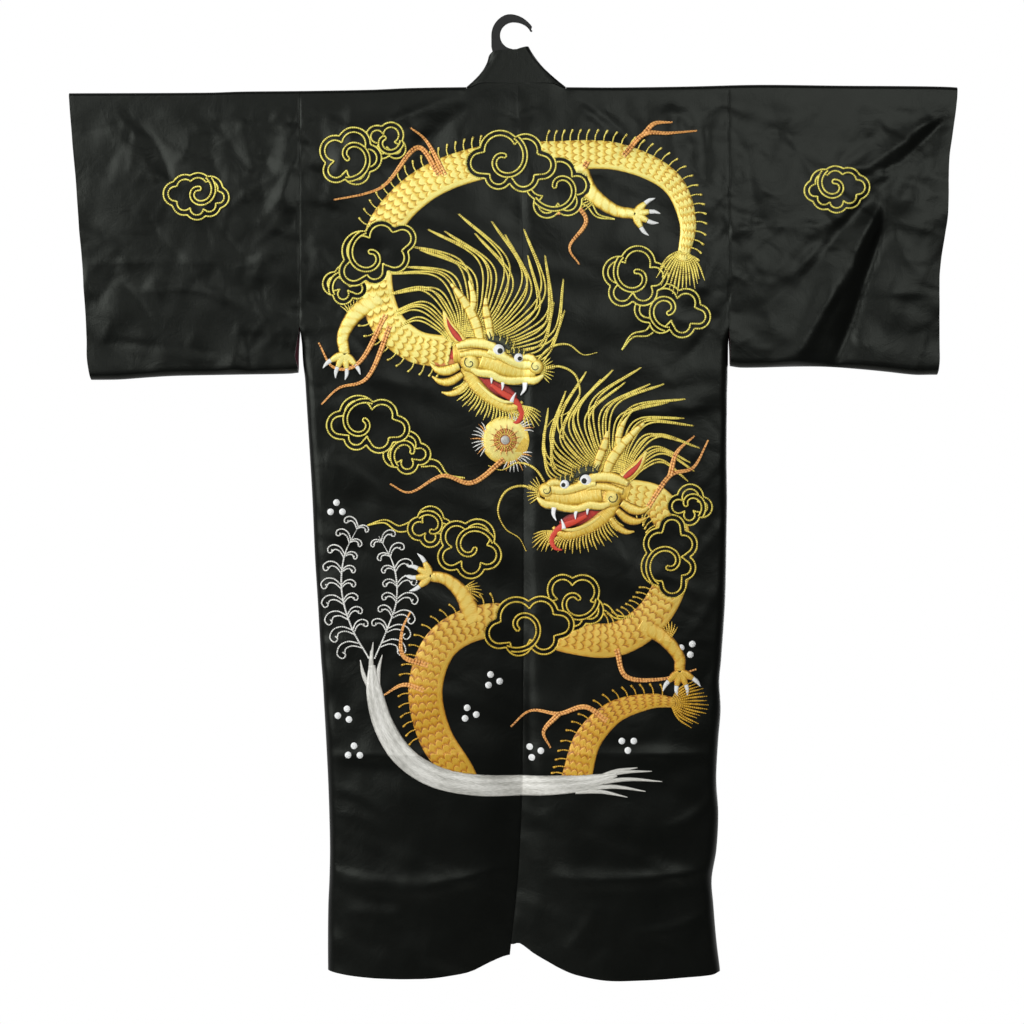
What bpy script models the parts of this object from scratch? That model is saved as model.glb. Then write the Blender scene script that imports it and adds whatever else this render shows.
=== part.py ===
# Black satin robe hung on a long two-armed hanger, seen from its back.
# The camera looks along +Y at the robe's back. +X is the wearer's right, +Z is up.
# The origin is the top of the hanger hook's inner curve, where a rail or peg holds it.
# Each body panel is one length of satin from back hem, over the shoulder, to front hem.
import bisect
import math

import bpy

MM = 0.001

# Driving sizes
CLOTH = 1.6 * MM  # satin and its lining together
BAND = 2.2 * MM  # the collar band, doubled and stiffened
LINING = 1.0 * MM
SEAM_GAP = 0.3 * MM
SHOULDER_RADIUS = 6.2 * MM  # outer radius of the fold over the hanger's arms
SLEEVE_DEPTH = 12.0 * MM  # half the thickness of a hanging sleeve
BODY_DEPTH = 13.0 * MM
FRONT_DEPTH = 12.0 * MM
SWELL_DROP = 160 * MM  # how far below the shoulder the cloth reaches its full depth
NECK_HALF = 73 * MM
NECK_SHIFT = 4 * MM  # the neck sits this much to the right of the hook
BAND_WIDTH = 50 * MM
ARMHOLE_END = -443 * MM
SLIT_SHOWS = 4.4 * MM  # lining that shows in the left sleeve's slit
SIDE_ROUND = 14 * MM
SLEEVE_ROUND = 10 * MM
FRONT_LIFT = 9 * MM  # the fronts' hem hangs this much higher than the back's
FOOT_SLANT = 16 * MM  # how far the collar's free edge rises at its foot
HEM_LOBE = 19 * MM  # how far each half of the back swells at the hem

# Outlines of the laid cloth in mm, keyed by their first column and read by smooth curves
SHOULDER = (  # x, z
    (-650, -104), (-440, -103), (-395, -101.5), (-310, -100.6), (-208, -98.7), (-150, -96.2),
    (-73, -95), (0, -95), (73, -95), (150, -95.4), (255, -94), (355, -91.6), (470, -92.8),
    (600, -94), (641, -96.5), (650, -101),
)
SIDES = (  # z, left x, right x
    (-1386, -271.6, 302.4), (-1342, -271.8, 297.0), (-1290, -271.2, 292.6), (-1254, -269.6, 290.2),
    (-1210, -268.8, 297.2), (-1158, -269.8, 299.9), (-1107, -271.6, 297.0), (-1049, -274.5, 299.9),
    (-1005, -277.0, 303.4), (-961, -279.5, 301.6), (-932, -281.8, 304.3), (-850, -286.5, 310.0),
    (-785, -290.6, 311.7), (-698, -294.5, 313.0), (-639, -297.9, 312.4), (-545, -303.8, 313.0),
    (-522, -305.3, 313.8), (-498, -308.2, 314.1), (-470, -309.9, 314.4), (-443, -312.6, 314.6),
)
HEM_LEFT = (  # x, z
    (-272, -1386), (-238, -1391.4), (-194, -1394.3), (-128, -1394.3), (-84, -1390),
    (-62, -1385.5), (-40, -1375.3), (-18, -1366.5), (-5, -1364),
)
HEM_RIGHT = (
    (-5, -1349), (4, -1347), (26, -1360.6), (48, -1372), (70, -1382.6), (92, -1390),
    (135, -1397), (179, -1397), (245, -1394), (289, -1391.4), (300, -1388),
)
BACK_SEAM = (  # z, x of the centre back seam
    (-1400, -9), (-1349, -3.6), (-1240, 7.4), (-1080, 13.6), (-600, 14.6), (-280, 12), (-90, 6),
)
VALLEY = (  # z, depth of the centre fold, its left and its right width
    (-1400, 12, 65, 90), (-1250, 11, 55, 48), (-1080, 8.5, 45, 12), (-900, 6.5, 40, 10),
    (-600, 4.5, 32, 9), (-300, 2.6, 24, 9), (-90, 0.8, 18, 9),
)
CUFF_LEFT = (  # z, x
    (-524, -617.5), (-493, -622.5), (-463, -623), (-405, -626), (-346, -630), (-287, -635),
    (-229, -639), (-171, -645), (-112, -649.6), (-103, -650),
)
CUFF_RIGHT = (
    (-517, 619.5), (-493, 621.7), (-375, 621.7), (-346, 624.6), (-317, 629), (-288, 633.4),
    (-258, 634.8), (-200, 636.3), (-170, 640.7), (-141, 645), (-112, 648.4), (-98, 649),
)
SLEEVE_HEM_LEFT = (  # x, z
    (-620, -523.5), (-590, -523), (-546, -520), (-503, -517.7), (-415, -516), (-327, -514.5),
    (-312, -513),
)
SLEEVE_HEM_RIGHT = (
    (312, -503), (333, -505.7), (421, -504), (465, -504.5), (509, -507.5), (553, -511.5),
    (597, -516), (622, -516),
)
FRONT_EDGE = (  # z, half the distance between the two collar seams on the fronts
    (-1400, 96), (-1000, 80), (-700, 71), (-300, 67), (-160, 70), (-100, 73),
)
# Largest folds of the back and the sleeves' back layers. They run from x0, z0 to x1, z1 in
# mm, bend by bow, fade over wide_a on their left and wide_b on their right, and stand out
# by rise, which is negative for a trough.
BACK_FOLDS = (  # x0, z0, x1, z1, bow, wide_a, wide_b, rise
    (632, -134, 437, -331, 14, 12, 24, -4.6),
    (600, -190, 500, -330, 8, 26, 16, 3.2),
    (545, -275, 470, -508, 6, 12, 30, -4.8),
    (478, -372, 398, -508, 4, 18, 14, 3.6),
    (-572, -124, -510, -222, -6, 12, 18, -3.4),
    (-332, -130, -346, -310, 8, 16, 16, 3.0),
    (-600, -420, -480, -500, 6, 20, 20, 2.6),
    (-78, -104, -166, -226, 8, 20, 24, -4.4),
    (82, -102, 150, -176, -4, 16, 18, -3.0),
    (-286, -108, -272, -236, 0, 12, 14, -2.8),
    (262, -110, 276, -250, 6, 14, 12, -2.6),
    (-296, -470, -150, -560, 10, 18, 22, 2.6),
    (306, -540, 140, -570, 8, 16, 20, 2.6),
    (-268, -1246, -30, -1236, -22, 14, 16, 3.2),
    (288, -1240, 60, -1250, 8, 16, 14, 3.4),
    (-268, -1072, -120, -1068, 0, 14, 14, 2.2),
    (294, -1072, 150, -1070, 0, 14, 14, 2.4),
)
FRONT_FOLDS = (
    (-560, -150, -430, -330, 10, 22, 22, -2.4),
    (560, -150, 440, -330, -10, 22, 22, -2.4),
    (-230, -480, -190, -1300, 12, 34, 34, -2.8),
    (215, -520, 190, -1320, -10, 36, 30, -3.0),
    (-250, -1072, 250, -1072, 0, 14, 14, 2.0),
    (-250, -1246, 250, -1246, 0, 14, 14, 2.0),
)

# Hanger
HOOK_INNER = 19.7 * MM
HOOK_OPEN = 26 * MM  # half width of the inner curve on the side where it opens
HOOK_TIP = 17  # degrees above the hook's centre where its inner and its outer edge end
HOOK_SHOULDER = 30
HOOK_FOOT = 266  # degrees round the inner curve where the collar hides it
HOOK_THICK = 6.0 * MM
ARM_HEIGHT = 24 * MM
ARM_THICK = 6 * MM
ARM_EASE = 1.6 * MM  # how far the arms' edges are rounded off
ARM_REACH = 636 * MM
HUB_HALF = 30 * MM
LEFT_ARM_TOP = (-99.4 * MM, -107.6 * MM)  # at the hub and at its tip
RIGHT_ARM_TOP = (-97.9 * MM, -98.2 * MM)


def smooth(t):
    t = min(1.0, max(0.0, t))
    return t * t * (3 - 2 * t)


def read(rows, at, column=1):
    """The table's value at a place in metres, on a smooth curve through its rows."""
    at = at / MM
    keys = [row[0] for row in rows]
    at = min(keys[-1], max(keys[0], at))
    i = min(len(keys) - 2, max(0, bisect.bisect_right(keys, at) - 1))

    def slope(j):
        a, b = max(0, j - 1), min(len(keys) - 1, j + 1)
        return (rows[b][column] - rows[a][column]) / (keys[b] - keys[a])

    step = keys[i + 1] - keys[i]
    t = (at - keys[i]) / step
    a, b = rows[i][column], rows[i + 1][column]
    bend_a = slope(i) * step - (b - a)
    bend_b = (b - a) - slope(i + 1) * step
    return (a + (b - a) * t + t * (1 - t) * (bend_a * (1 - t) + bend_b * t)) * MM


def relief(folds, x, z):
    """How far the folds of a table push the cloth out at x, z."""
    total = 0.0
    for x0, z0, x1, z1, bow, wide_a, wide_b, rise in folds:
        run_x, run_z = (x1 - x0) * MM, (z1 - z0) * MM
        length = math.hypot(run_x, run_z)
        ux, uz = run_x / length, run_z / length
        px, pz = x - x0 * MM, z - z0 * MM
        along = (px * ux + pz * uz) / length
        if not -0.15 < along < 1.15:
            continue
        t = min(1.0, max(0.0, along))
        across = px * -uz + pz * ux - bow * MM * 4 * t * (1 - t)
        width = (wide_a if across < 0 else wide_b) * MM
        fade = smooth((along + 0.15) / 0.4) * smooth((1.15 - along) / 0.4)
        total += rise * MM * fade * math.exp(-((across / width) ** 2))
    return total


def shoulder_z(x):
    return read(SHOULDER, x)


def hollow(x, z, full):
    """Half the garment's thickness at x, z, before its folds: round over the arm, then full."""
    drop = max(0.0, shoulder_z(x) - z)
    if drop < SHOULDER_RADIUS:
        return math.sqrt(SHOULDER_RADIUS**2 - (SHOULDER_RADIUS - drop) ** 2)
    return SHOULDER_RADIUS + (full - SHOULDER_RADIUS) * smooth((drop - SHOULDER_RADIUS) / SWELL_DROP)


def full_depth(x):
    """Full half thickness: the body's between the armholes, the sleeve's past them."""
    return BODY_DEPTH + (SLEEVE_DEPTH - BODY_DEPTH) * smooth((abs(x) - 250 * MM) / (60 * MM))


def fold_share(x, z):
    """Folds die out where the cloth lies on the hanger's arm."""
    return smooth((shoulder_z(x) - z - 12 * MM) / (84 * MM))


def seam_x(z):
    return read(BACK_SEAM, z)


def side_x(z, side):
    return read(SIDES, min(z, ARMHOLE_END), 1 if side < 0 else 2)


def centre_valley(x, z):
    """Depth of the fold along the centre back seam."""
    across = x - seam_x(z)
    width = read(VALLEY, z, 2 if across < 0 else 3)
    return read(VALLEY, z, 1) * math.exp(-((across / width) ** 2))


def back_depth(x, z):
    """How far the back's outer face stands towards the viewer from the middle plane."""
    depth = hollow(x, z, full_depth(x)) + relief(BACK_FOLDS, x, z) * fold_share(x, z)
    side = -1 if x < seam_x(z) else 1
    if abs(x) < abs(side_x(z, side)):
        half = abs(side_x(z, side) - seam_x(z))
        share = min(1.0, abs(x - seam_x(z)) / half)
        depth += HEM_LOBE * smooth((-0.45 - z) / 0.94) * math.sin(math.pi * share) ** 0.8
        depth -= centre_valley(x, z) * smooth((shoulder_z(x) - z) / (30 * MM))
    return depth


def front_depth(x, z):
    """The same for the fronts, which hang flat against the wall."""
    full = FRONT_DEPTH + (SLEEVE_DEPTH - 2 * MM - FRONT_DEPTH) * smooth((abs(x) - 0.25) / 0.06)
    return hollow(x, z, full) + relief(FRONT_FOLDS, x, z) * fold_share(x, z)


def side_closing(x, z, side):
    """1 on the open panel, falling to 0 at the side seam where back and front meet."""
    shut = smooth((ARMHOLE_END - z) / (34 * MM))
    edge = max(0.0, (side_x(z, side) - x) * side)
    if shut == 0.0 or edge >= SIDE_ROUND:
        return 1.0
    round_off = math.sqrt(max(0.0, 1 - (1 - edge / SIDE_ROUND) ** 2))
    return 1 - shut * (1 - round_off)


def material(name, colour, roughness):
    made = bpy.data.materials.new(name)
    made.use_nodes = True
    shader = made.node_tree.nodes["Principled BSDF"]
    shader.inputs["Base Color"].default_value = (*colour, 1)
    shader.inputs["Roughness"].default_value = roughness
    shader.inputs["Metallic"].default_value = 0.0
    return made


def add_object(name, points, faces, finish):
    mesh = bpy.data.meshes.new(name)
    mesh.from_pydata(points, [], faces)
    mesh.materials.append(finish)
    mesh.shade_smooth()
    mesh.set_sharp_from_angle(angle=math.radians(50))
    made = bpy.data.objects.new(name, mesh)
    bpy.context.collection.objects.link(made)
    return made


def minus(a, b):
    return [p - q for p, q in zip(a, b)]


def cross(a, b):
    return [a[1] * b[2] - a[2] * b[1], a[2] * b[0] - a[0] * b[2], a[0] * b[1] - a[1] * b[0]]


def unit(a):
    length = math.sqrt(sum(p * p for p in a)) or 1.0
    return [p / length for p in a]


def normals_of(grid, turned, closed_rows=0):
    """Outward normals of a grid {(row, column): point}. A turned grid's columns run the other
    way round, and closed_rows is the count of rows where the grid closes into a loop."""
    found = {}
    for r, c in grid:
        up, down = (r + 1, c), (r - 1, c)
        if closed_rows:
            up, down = ((r + 1) % closed_rows, c), ((r - 1) % closed_rows, c)
        along = minus(grid.get(up, grid[r, c]), grid.get(down, grid[r, c]))
        over = minus(grid.get((r, c + 1), grid[r, c]), grid.get((r, c - 1), grid[r, c]))
        found[r, c] = unit(cross(over, along) if turned else cross(along, over))
    return found


def level(normals, at_seam):
    """Normals along a seam kept in the seam's plane, so that neither side crosses it."""
    return {p: unit([0, n[1], n[2]]) if at_seam(p) else n for p, n in normals.items()}


def make_wall(name, grid, normals, thick, finish, turned, closed_rows=0):
    """A cloth wall: the grid is its outer face, and its inner face lies thick behind it."""
    places = sorted(grid)
    index = {place: i for i, place in enumerate(places)}
    count = len(places)
    points = [grid[p] for p in places]
    points += [[q - n * thick for q, n in zip(grid[p], normals[p])] for p in places]
    faces, edges = [], {}
    for r, c in places:
        r2 = (r + 1) % closed_rows if closed_rows else r + 1
        corners = [(r, c), (r2, c), (r2, c + 1), (r, c + 1)]
        if not all(corner in index for corner in corners):
            continue
        ring = [index[corner] for corner in corners]
        if turned:
            ring.reverse()
        faces.append(ring)
        faces.append([i + count for i in reversed(ring)])
        for a, b in zip(ring, ring[1:] + ring[:1]):
            edges[a, b] = True
    for a, b in edges:
        if (b, a) not in edges:
            faces.append([b, a, a + count, b + count])
    return add_object(name, points, faces, finish)


# Columns of a body panel, as distances in mm from the centre seam. The last ones crowd
# round the side seam, and NECK_COLUMN is the first that runs over the shoulder.
CENTRE_COLUMNS = (0, 4, 10, 22, 44)
NECK_COLUMN = 5
OUTER_SHARES = (0, 0.17, 0.34, 0.51, 0.68, 0.83)
SIDE_COLUMNS = (14, 5, 1.4, 0)  # distances in mm from the side seam
LAST_COLUMN = NECK_COLUMN + len(OUTER_SHARES) + len(SIDE_COLUMNS) - 1
WRAP_ANGLES = (30, 60, 90, 120, 150, 180)  # round the hanger's arm, back to front
BACK_ROW = 36 * MM
FRONT_ROWS = 24


def back_row_heights():
    """Heights of the back's rows, from the hem's level up to the fold over the arm."""
    low, high = -1.392, ARMHOLE_END
    rows = round((high - low) / BACK_ROW)
    heights = [low + (high - low) * i / rows for i in range(rows + 1)]
    heights.insert(rows, high - 14 * MM)
    return heights + [-0.41, -0.376, -0.342, -0.308, -0.274, -0.24, -0.208, -0.176, -0.146, -0.122]


def columns_at(z, side):
    """The x of each column of a body panel at a height."""
    inner = seam_x(z) + side * SEAM_GAP / 2
    edge = side_x(z, side) - side * SEAM_GAP / 2
    spread = smooth((-0.11 - z) / 0.5)
    neck = (side * NECK_HALF + NECK_SHIFT) * (1 - spread) + (inner + side * 80 * MM) * spread
    near = [inner + (neck - inner) * d / 64 for d in CENTRE_COLUMNS]
    last = edge - side * SIDE_COLUMNS[0] * MM
    middle = [neck + (last - neck) * share for share in OUTER_SHARES]
    return near + middle + [edge - side * d * MM for d in SIDE_COLUMNS]


def front_columns_at(z, side):
    start = side * (read(FRONT_EDGE, z) + SEAM_GAP) + NECK_SHIFT * (1 - smooth((-0.1 - z) / 0.3))
    edge = side_x(z, side) - side * SEAM_GAP / 2
    last = edge - side * SIDE_COLUMNS[0] * MM
    return [start + (last - start) * share for share in OUTER_SHARES] + [
        edge - side * d * MM for d in SIDE_COLUMNS
    ]


def hem_z(x, side):
    return read(HEM_LEFT if side < 0 else HEM_RIGHT, x)


def lifted(z, x, side):
    """Rows near the hem follow its curve."""
    share = smooth((-1.15 - z) / 0.242)
    return z + (hem_z(x, side) + 1.392) * share


def settle(columns, c, z, side, rise=0.0):
    """Where a column of a row lies once the row has followed the hem."""
    height = lifted(z, columns(z, side)[c], side) + rise
    return columns(height, side)[c], height


def neckline_z(x):
    return shoulder_z(x) + 4.6 * MM * smooth((NECK_HALF - abs(x - NECK_SHIFT)) / (24 * MM))


def neck_turn(angle):
    """The neck's edge leaves the back higher up than the shoulder does."""
    return angle + 30 * max(0.0, 1 - angle / 90)


def body_grid(side):
    """Outer face of one body panel, and the places along its neck and front edge in order."""
    grid, shut = {}, {}
    row = 0
    for z in back_row_heights():
        for c in range(LAST_COLUMN + 1):
            x, height = settle(columns_at, c, z, side)
            grid[row, c] = [x, -back_depth(x, height) * side_closing(x, height, side), height]
            shut[row, c] = smooth((ARMHOLE_END - z) / (34 * MM))
        row += 1
    edge_places = []
    for c, x in enumerate(columns_at(-0.1, side)):
        if c < NECK_COLUMN:
            height = neckline_z(x)
            grid[row, c] = [x, -7.4 * MM, height]
            edge_places.append((row, c))
        else:
            turn = math.radians(neck_turn(0) if c == NECK_COLUMN else 0)
            drop = SHOULDER_RADIUS * (1 - math.sin(turn))
            grid[row, c] = [x, -SHOULDER_RADIUS * math.cos(turn), shoulder_z(x) - drop]
        shut[row, c] = 0.0
    for angle in WRAP_ANGLES:
        row += 1
        for c, x in enumerate(columns_at(-0.1, side)):
            if c >= NECK_COLUMN:
                turn = math.radians(neck_turn(angle) if c == NECK_COLUMN else angle)
                y = -SHOULDER_RADIUS * math.cos(turn)
                z = shoulder_z(x) - SHOULDER_RADIUS * (1 - math.sin(turn))
                grid[row, c] = [x, y, z]
                shut[row, c] = 0.0
    back_rows = row
    for i in range(1, FRONT_ROWS + 1):
        row += 1
        t = i / FRONT_ROWS
        z = -0.104 - 1.288 * (0.35 * t * t + 0.65 * t)
        rise = FRONT_LIFT * smooth((-1.1 - z) / 0.28)
        for c in range(LAST_COLUMN + 1 - NECK_COLUMN):
            x, height = settle(front_columns_at, c, z, side, rise)
            y = front_depth(x, height) * side_closing(x, height, side)
            grid[row, c + NECK_COLUMN] = [x, y, height]
            shut[row, c + NECK_COLUMN] = smooth((ARMHOLE_END - z) / (34 * MM))
    first_wrap = back_rows - len(WRAP_ANGLES)
    edge_places += [(r, NECK_COLUMN) for r in range(first_wrap, row + 1)]
    for place, point in grid.items():
        if place[1] == LAST_COLUMN:
            closing = shut[place]
            point[1] = point[1] * (1 - closing) + math.copysign(SEAM_GAP / 2, point[1]) * closing
    return grid, edge_places, shut


def body_panel(side, name, finish):
    grid, edge_places, shut = body_grid(side)
    normals = level(normals_of(grid, side > 0), lambda place: place[1] == 0)
    for place, normal in normals.items():
        if place[1] == LAST_COLUMN:
            closing = shut[place]
            flat = [0, math.copysign(1, grid[place][1]), 0] if abs(grid[place][1]) > 1e-6 else normal
            open_normal = normal if shut[place] == 0 else flat
            normal = unit([n * (1 - closing) + s * closing for n, s in zip(open_normal, (side, 0, 0))])
        normals[place] = normal
    make_wall(name, grid, normals, CLOTH, finish, side > 0)
    return [grid[place] for place in edge_places]


# The sleeve's loop runs from the fold at its top, down its back layer, round its foot and
# up its front layer.
SLEEVE_SECTIONS = 16
SLEEVE_STEPS = (0.1, 0.18, 0.27, 0.36, 0.45, 0.54, 0.63, 0.72, 0.81, 0.89, 0.95)


def armhole_x(z, side, layer):
    """The sleeve's inner edge: on the body as far as the armhole reaches, then free of it. The
    left sleeve's back layer draws aside there and shows the lining of its front layer."""
    free = smooth((ARMHOLE_END - z) / (50 * MM))
    aside = 2.0 * MM
    if side < 0 and layer < 0:
        aside += SLIT_SHOWS * smooth((z + 0.508) / 0.02)
    return side_x(ARMHOLE_END, side) + side * (SEAM_GAP / 2 + aside * free)


def sleeve_loop(share, side):
    """One section of a sleeve, share of the way from the armhole to the cuff."""
    cuff = CUFF_LEFT if side < 0 else CUFF_RIGHT
    foot_rows = SLEEVE_HEM_LEFT if side < 0 else SLEEVE_HEM_RIGHT

    def place(z, layer):
        inner = armhole_x(z, side, layer)
        return inner + (read(cuff, z) - inner) * share

    middle = place(-0.3, 1)
    top, foot = shoulder_z(middle), read(foot_rows, middle)
    loop = []
    for angle in (0, 30, 60, 90):
        turn = math.radians(angle)
        z = top - SHOULDER_RADIUS * (1 - math.cos(turn))
        loop.append((-SHOULDER_RADIUS * math.sin(turn), z, -1))
    for step in SLEEVE_STEPS:
        loop.append((None, top - SHOULDER_RADIUS + (foot - top + SHOULDER_RADIUS) * step, -1))
    rounding = [foot + SLEEVE_ROUND * (1 - math.sin(math.radians(a))) for a in (40, 72)]
    for z in rounding:
        loop.append((None, z, -1))
    loop.append((0.0, foot, -1))
    for z in reversed(rounding):
        loop.append((None, z, 1))
    for step in reversed(SLEEVE_STEPS):
        loop.append((None, top - SHOULDER_RADIUS + (foot - top + SHOULDER_RADIUS) * step, 1))
    for angle in (90, 60, 30):
        turn = math.radians(angle)
        z = top - SHOULDER_RADIUS * (1 - math.cos(turn))
        loop.append((SHOULDER_RADIUS * math.sin(turn), z, 1))
    points = []
    for y, z, layer in loop:
        x = place(z, layer)
        if y is None:
            depth = back_depth(x, z) if layer < 0 else front_depth(x, z)
            near = min(1.0, (z - foot) / SLEEVE_ROUND)
            y = layer * depth * math.sqrt(max(0.0, 1 - (1 - near) ** 2))
        points.append([x, y, z])
    return points


def sleeve(side, name, finish):
    grid = {}
    for c in range(SLEEVE_SECTIONS):
        loop = sleeve_loop(c / (SLEEVE_SECTIONS - 1), side)
        for r, point in enumerate(loop):
            grid[r, c] = point
    rows = len(loop)
    normals = level(normals_of(grid, side < 0, rows), lambda place: place[1] == 0)
    make_wall(name, grid, normals, CLOTH, finish, side < 0, rows)


def sleeve_lining(side, name, finish):
    """The strip of lining that shows in the slit below the armhole."""
    first, last, depth = 12, 22, CLOTH + SEAM_GAP
    outer = {}
    for c in range(3):
        loop = sleeve_loop(c / (SLEEVE_SECTIONS - 1), side)
        for r, point in enumerate(loop):
            outer[r, c] = point
    rows = len(loop)
    normals = level(normals_of(outer, side < 0, rows), lambda place: place[1] == 0)
    grid, kept = {}, {}
    for r in range(first, last + 1):
        for c in range(2):
            grid[r, c] = [q - n * depth for q, n in zip(outer[r, c], normals[r, c])]
            kept[r, c] = normals[r, c]
    make_wall(name, grid, kept, LINING, finish, side < 0)


# Free edge of the collar at the back and round the neck, in mm, for the wearer's left and
# right: share of the way along the neck from centre back to the front, then x, y, z.
COLLAR_TOP = {
    -1: (
        (0.0, 6, -6.4, -40.2), (0.3, -11, -6.4, -41.2), (0.55, -22, -6.3, -41.8),
        (0.7, -31, -5.2, -44.0), (0.8, -36.4, -0.5, -50), (0.9, -35.4, 6, -53.5),
        (1.0, -31.5, 7.6, -57),
    ),
    1: (
        (0.0, 6, -6.4, -39.8), (0.3, 11, -6.4, -38.2), (0.55, 16.5, -6.3, -36.8),
        (0.7, 20.0, -5.0, -36.2), (0.8, 22.6, -0.5, -36.4), (0.9, 22.0, 6, -40),
        (1.0, 24.0, 7.6, -48),
    ),
}
BAND_COLUMNS = 5


def collar(side, name, finish, edge):
    """Half of the collar band, from the centre back seam round the neck and down a front."""
    wrap_end = NECK_COLUMN + len(WRAP_ANGLES)
    grid = {}
    for i, base in enumerate(edge):
        t = i / wrap_end
        if t <= 1:
            rows = [(row[0] * 1000, *row[1:]) for row in COLLAR_TOP[side]]
            free = [read(rows, t, k) for k in (1, 2, 3)]
            bow = -side * 6 * MM * smooth((t - 0.3) / 0.4)
        else:
            drop = max(0.0, edge[wrap_end][2] - base[2])
            blend = smooth(drop / 0.11)
            high = (COLLAR_TOP[side][-1][1] * MM, 7.0 * MM, COLLAR_TOP[side][-1][3] * MM)
            slide = smooth(drop / 0.16)
            low_z = base[2] + 0.05 * (1 - slide) + FOOT_SLANT * smooth((-1.2 - base[2]) / 0.17)
            low = (base[0] - side * BAND_WIDTH, base[1], low_z)
            free = [h + (q - h) * blend for h, q in zip(high, low)]
            bow = -side * 6 * MM * (1 - blend)
        start = list(base)
        corner = math.exp(-(((i - NECK_COLUMN) / 1.6) ** 2))
        if i < NECK_COLUMN:
            start[2] += SEAM_GAP + 0.8 * MM * corner
        else:
            start[0] -= side * (SEAM_GAP + 0.5 * MM * corner)
            start[2] += (SEAM_GAP + 0.8 * MM * corner) * (1 - smooth((i - NECK_COLUMN) / 8))
        if i == 0:
            start[0] += side * 0.02 * MM
        for c in range(BAND_COLUMNS):
            f = c / (BAND_COLUMNS - 1)
            point = [a + (b - a) * f for a, b in zip(start, free)]
            point[0] += bow * 4 * f * (1 - f)
            point[1] += math.copysign(1.2 * MM, point[1]) * 4 * f * (1 - f) * smooth((t - 0.9) / 0.5)
            grid[i, c] = point
    for c in range(BAND_COLUMNS):
        grid[0, c][0] = seam_x(-0.09) + side * SEAM_GAP / 2
    normals = level(normals_of(grid, side < 0), lambda place: place[0] == 0)
    make_wall(name, grid, normals, BAND, finish, side < 0)


def extruded(name, outline, thick, ease, finish):
    """A flat plate from its outline in x, z, with its edges eased."""
    count = len(outline)
    points = [(x, -thick / 2, z) for x, z in outline]
    points += [(x, thick / 2, z) for x, z in outline]
    faces = [list(range(count)), [i + count for i in reversed(range(count))]]
    for i in range(count):
        j = (i + 1) % count
        faces.append([j, i, i + count, j + count])
    made = add_object(name, points, faces, finish)
    bevel = made.modifiers.new("eased edges", "BEVEL")
    bevel.width = ease
    bevel.segments = 1
    bevel.limit_method = "ANGLE"
    bevel.angle_limit = math.radians(60)
    return made


def hanger_hook(name, finish):
    """The hook, its neck and the hub between the two arms, in one flat moulding."""
    outer, inner = [], []
    steps = 16

    def on_curve(turn, out):
        half = HOOK_OPEN if math.cos(turn) > 0 else HOOK_INNER
        return (half + out) * math.cos(turn), (HOOK_INNER + out) * math.sin(turn) - HOOK_INNER

    for i in range(steps + 1):
        share = i / steps
        turn = math.radians(HOOK_SHOULDER + (180 - HOOK_SHOULDER) * share)
        outer.append(on_curve(turn, (5.6 + 7.2 * smooth(share * 1.7)) * MM))
    for i in range(24):
        turn = math.radians(HOOK_FOOT + (HOOK_TIP - HOOK_FOOT) * i / 23)
        inner.append(on_curve(turn, 0.0))
    barb = [(28.2, -13.6), (25.6, -10.8)]
    left_neck = [(-32.4, -36), (-31.0, -42), (-27, -60), (-24, -80), (-30, -98)]
    hub = [(-30, -121.6), (30, -121.6), (30, -97.9), (10, -88), (2, -72), (-1, -58), (-2.5, -46)]
    outline = [(x * MM, z * MM) for x, z in barb] + outer
    outline += [(x * MM, z * MM) for x, z in left_neck + hub] + inner
    return extruded(name, outline, HOOK_THICK, 0.8 * MM, finish)


def hanger_arm(side, name, finish):
    """A flat bar with a round tip, laid in the fold of shoulder and sleeve."""
    root, tip = LEFT_ARM_TOP if side < 0 else RIGHT_ARM_TOP
    start = HUB_HALF + SEAM_GAP
    reach = ARM_REACH
    tip_radius = ARM_HEIGHT / 2
    outline = [(side * start, root), (side * start, root - ARM_HEIGHT)]
    for i in range(9):
        turn = math.radians(-90 + 180 * i / 8)
        x = reach - tip_radius + tip_radius * math.cos(turn)
        outline.append((side * x, tip - tip_radius + tip_radius * math.sin(turn)))
    if side < 0:
        outline.reverse()
    return extruded(name, outline, ARM_THICK, ARM_EASE, finish)


def main():
    for old in list(bpy.data.objects):
        bpy.data.objects.remove(old, do_unlink=True)
    satin = material("black satin", (0.013, 0.013, 0.014), 0.42)
    lining = material("crimson lining", (0.18, 0.012, 0.03), 0.45)
    plastic = material("black moulded plastic", (0.02, 0.02, 0.021), 0.5)
    for side, word in ((-1, "left"), (1, "right")):
        neck_edge = body_panel(side, f"body_{word}", satin)
        collar(side, f"collar_{word}", satin, neck_edge)
        sleeve(side, f"sleeve_{word}", satin)
        sleeve_lining(side, f"sleeve_lining_{word}", lining)
        hanger_arm(side, f"hanger_arm_{word}", plastic)
    hanger_hook("hanger_hook", plastic)


main()
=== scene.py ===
# The hung satin robe: fine satin walls, creases, embroidery, stitches, finishes, light and camera.
# Tables of the garment are in millimetres, with x across the back and z down from the hook.
import math

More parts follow.
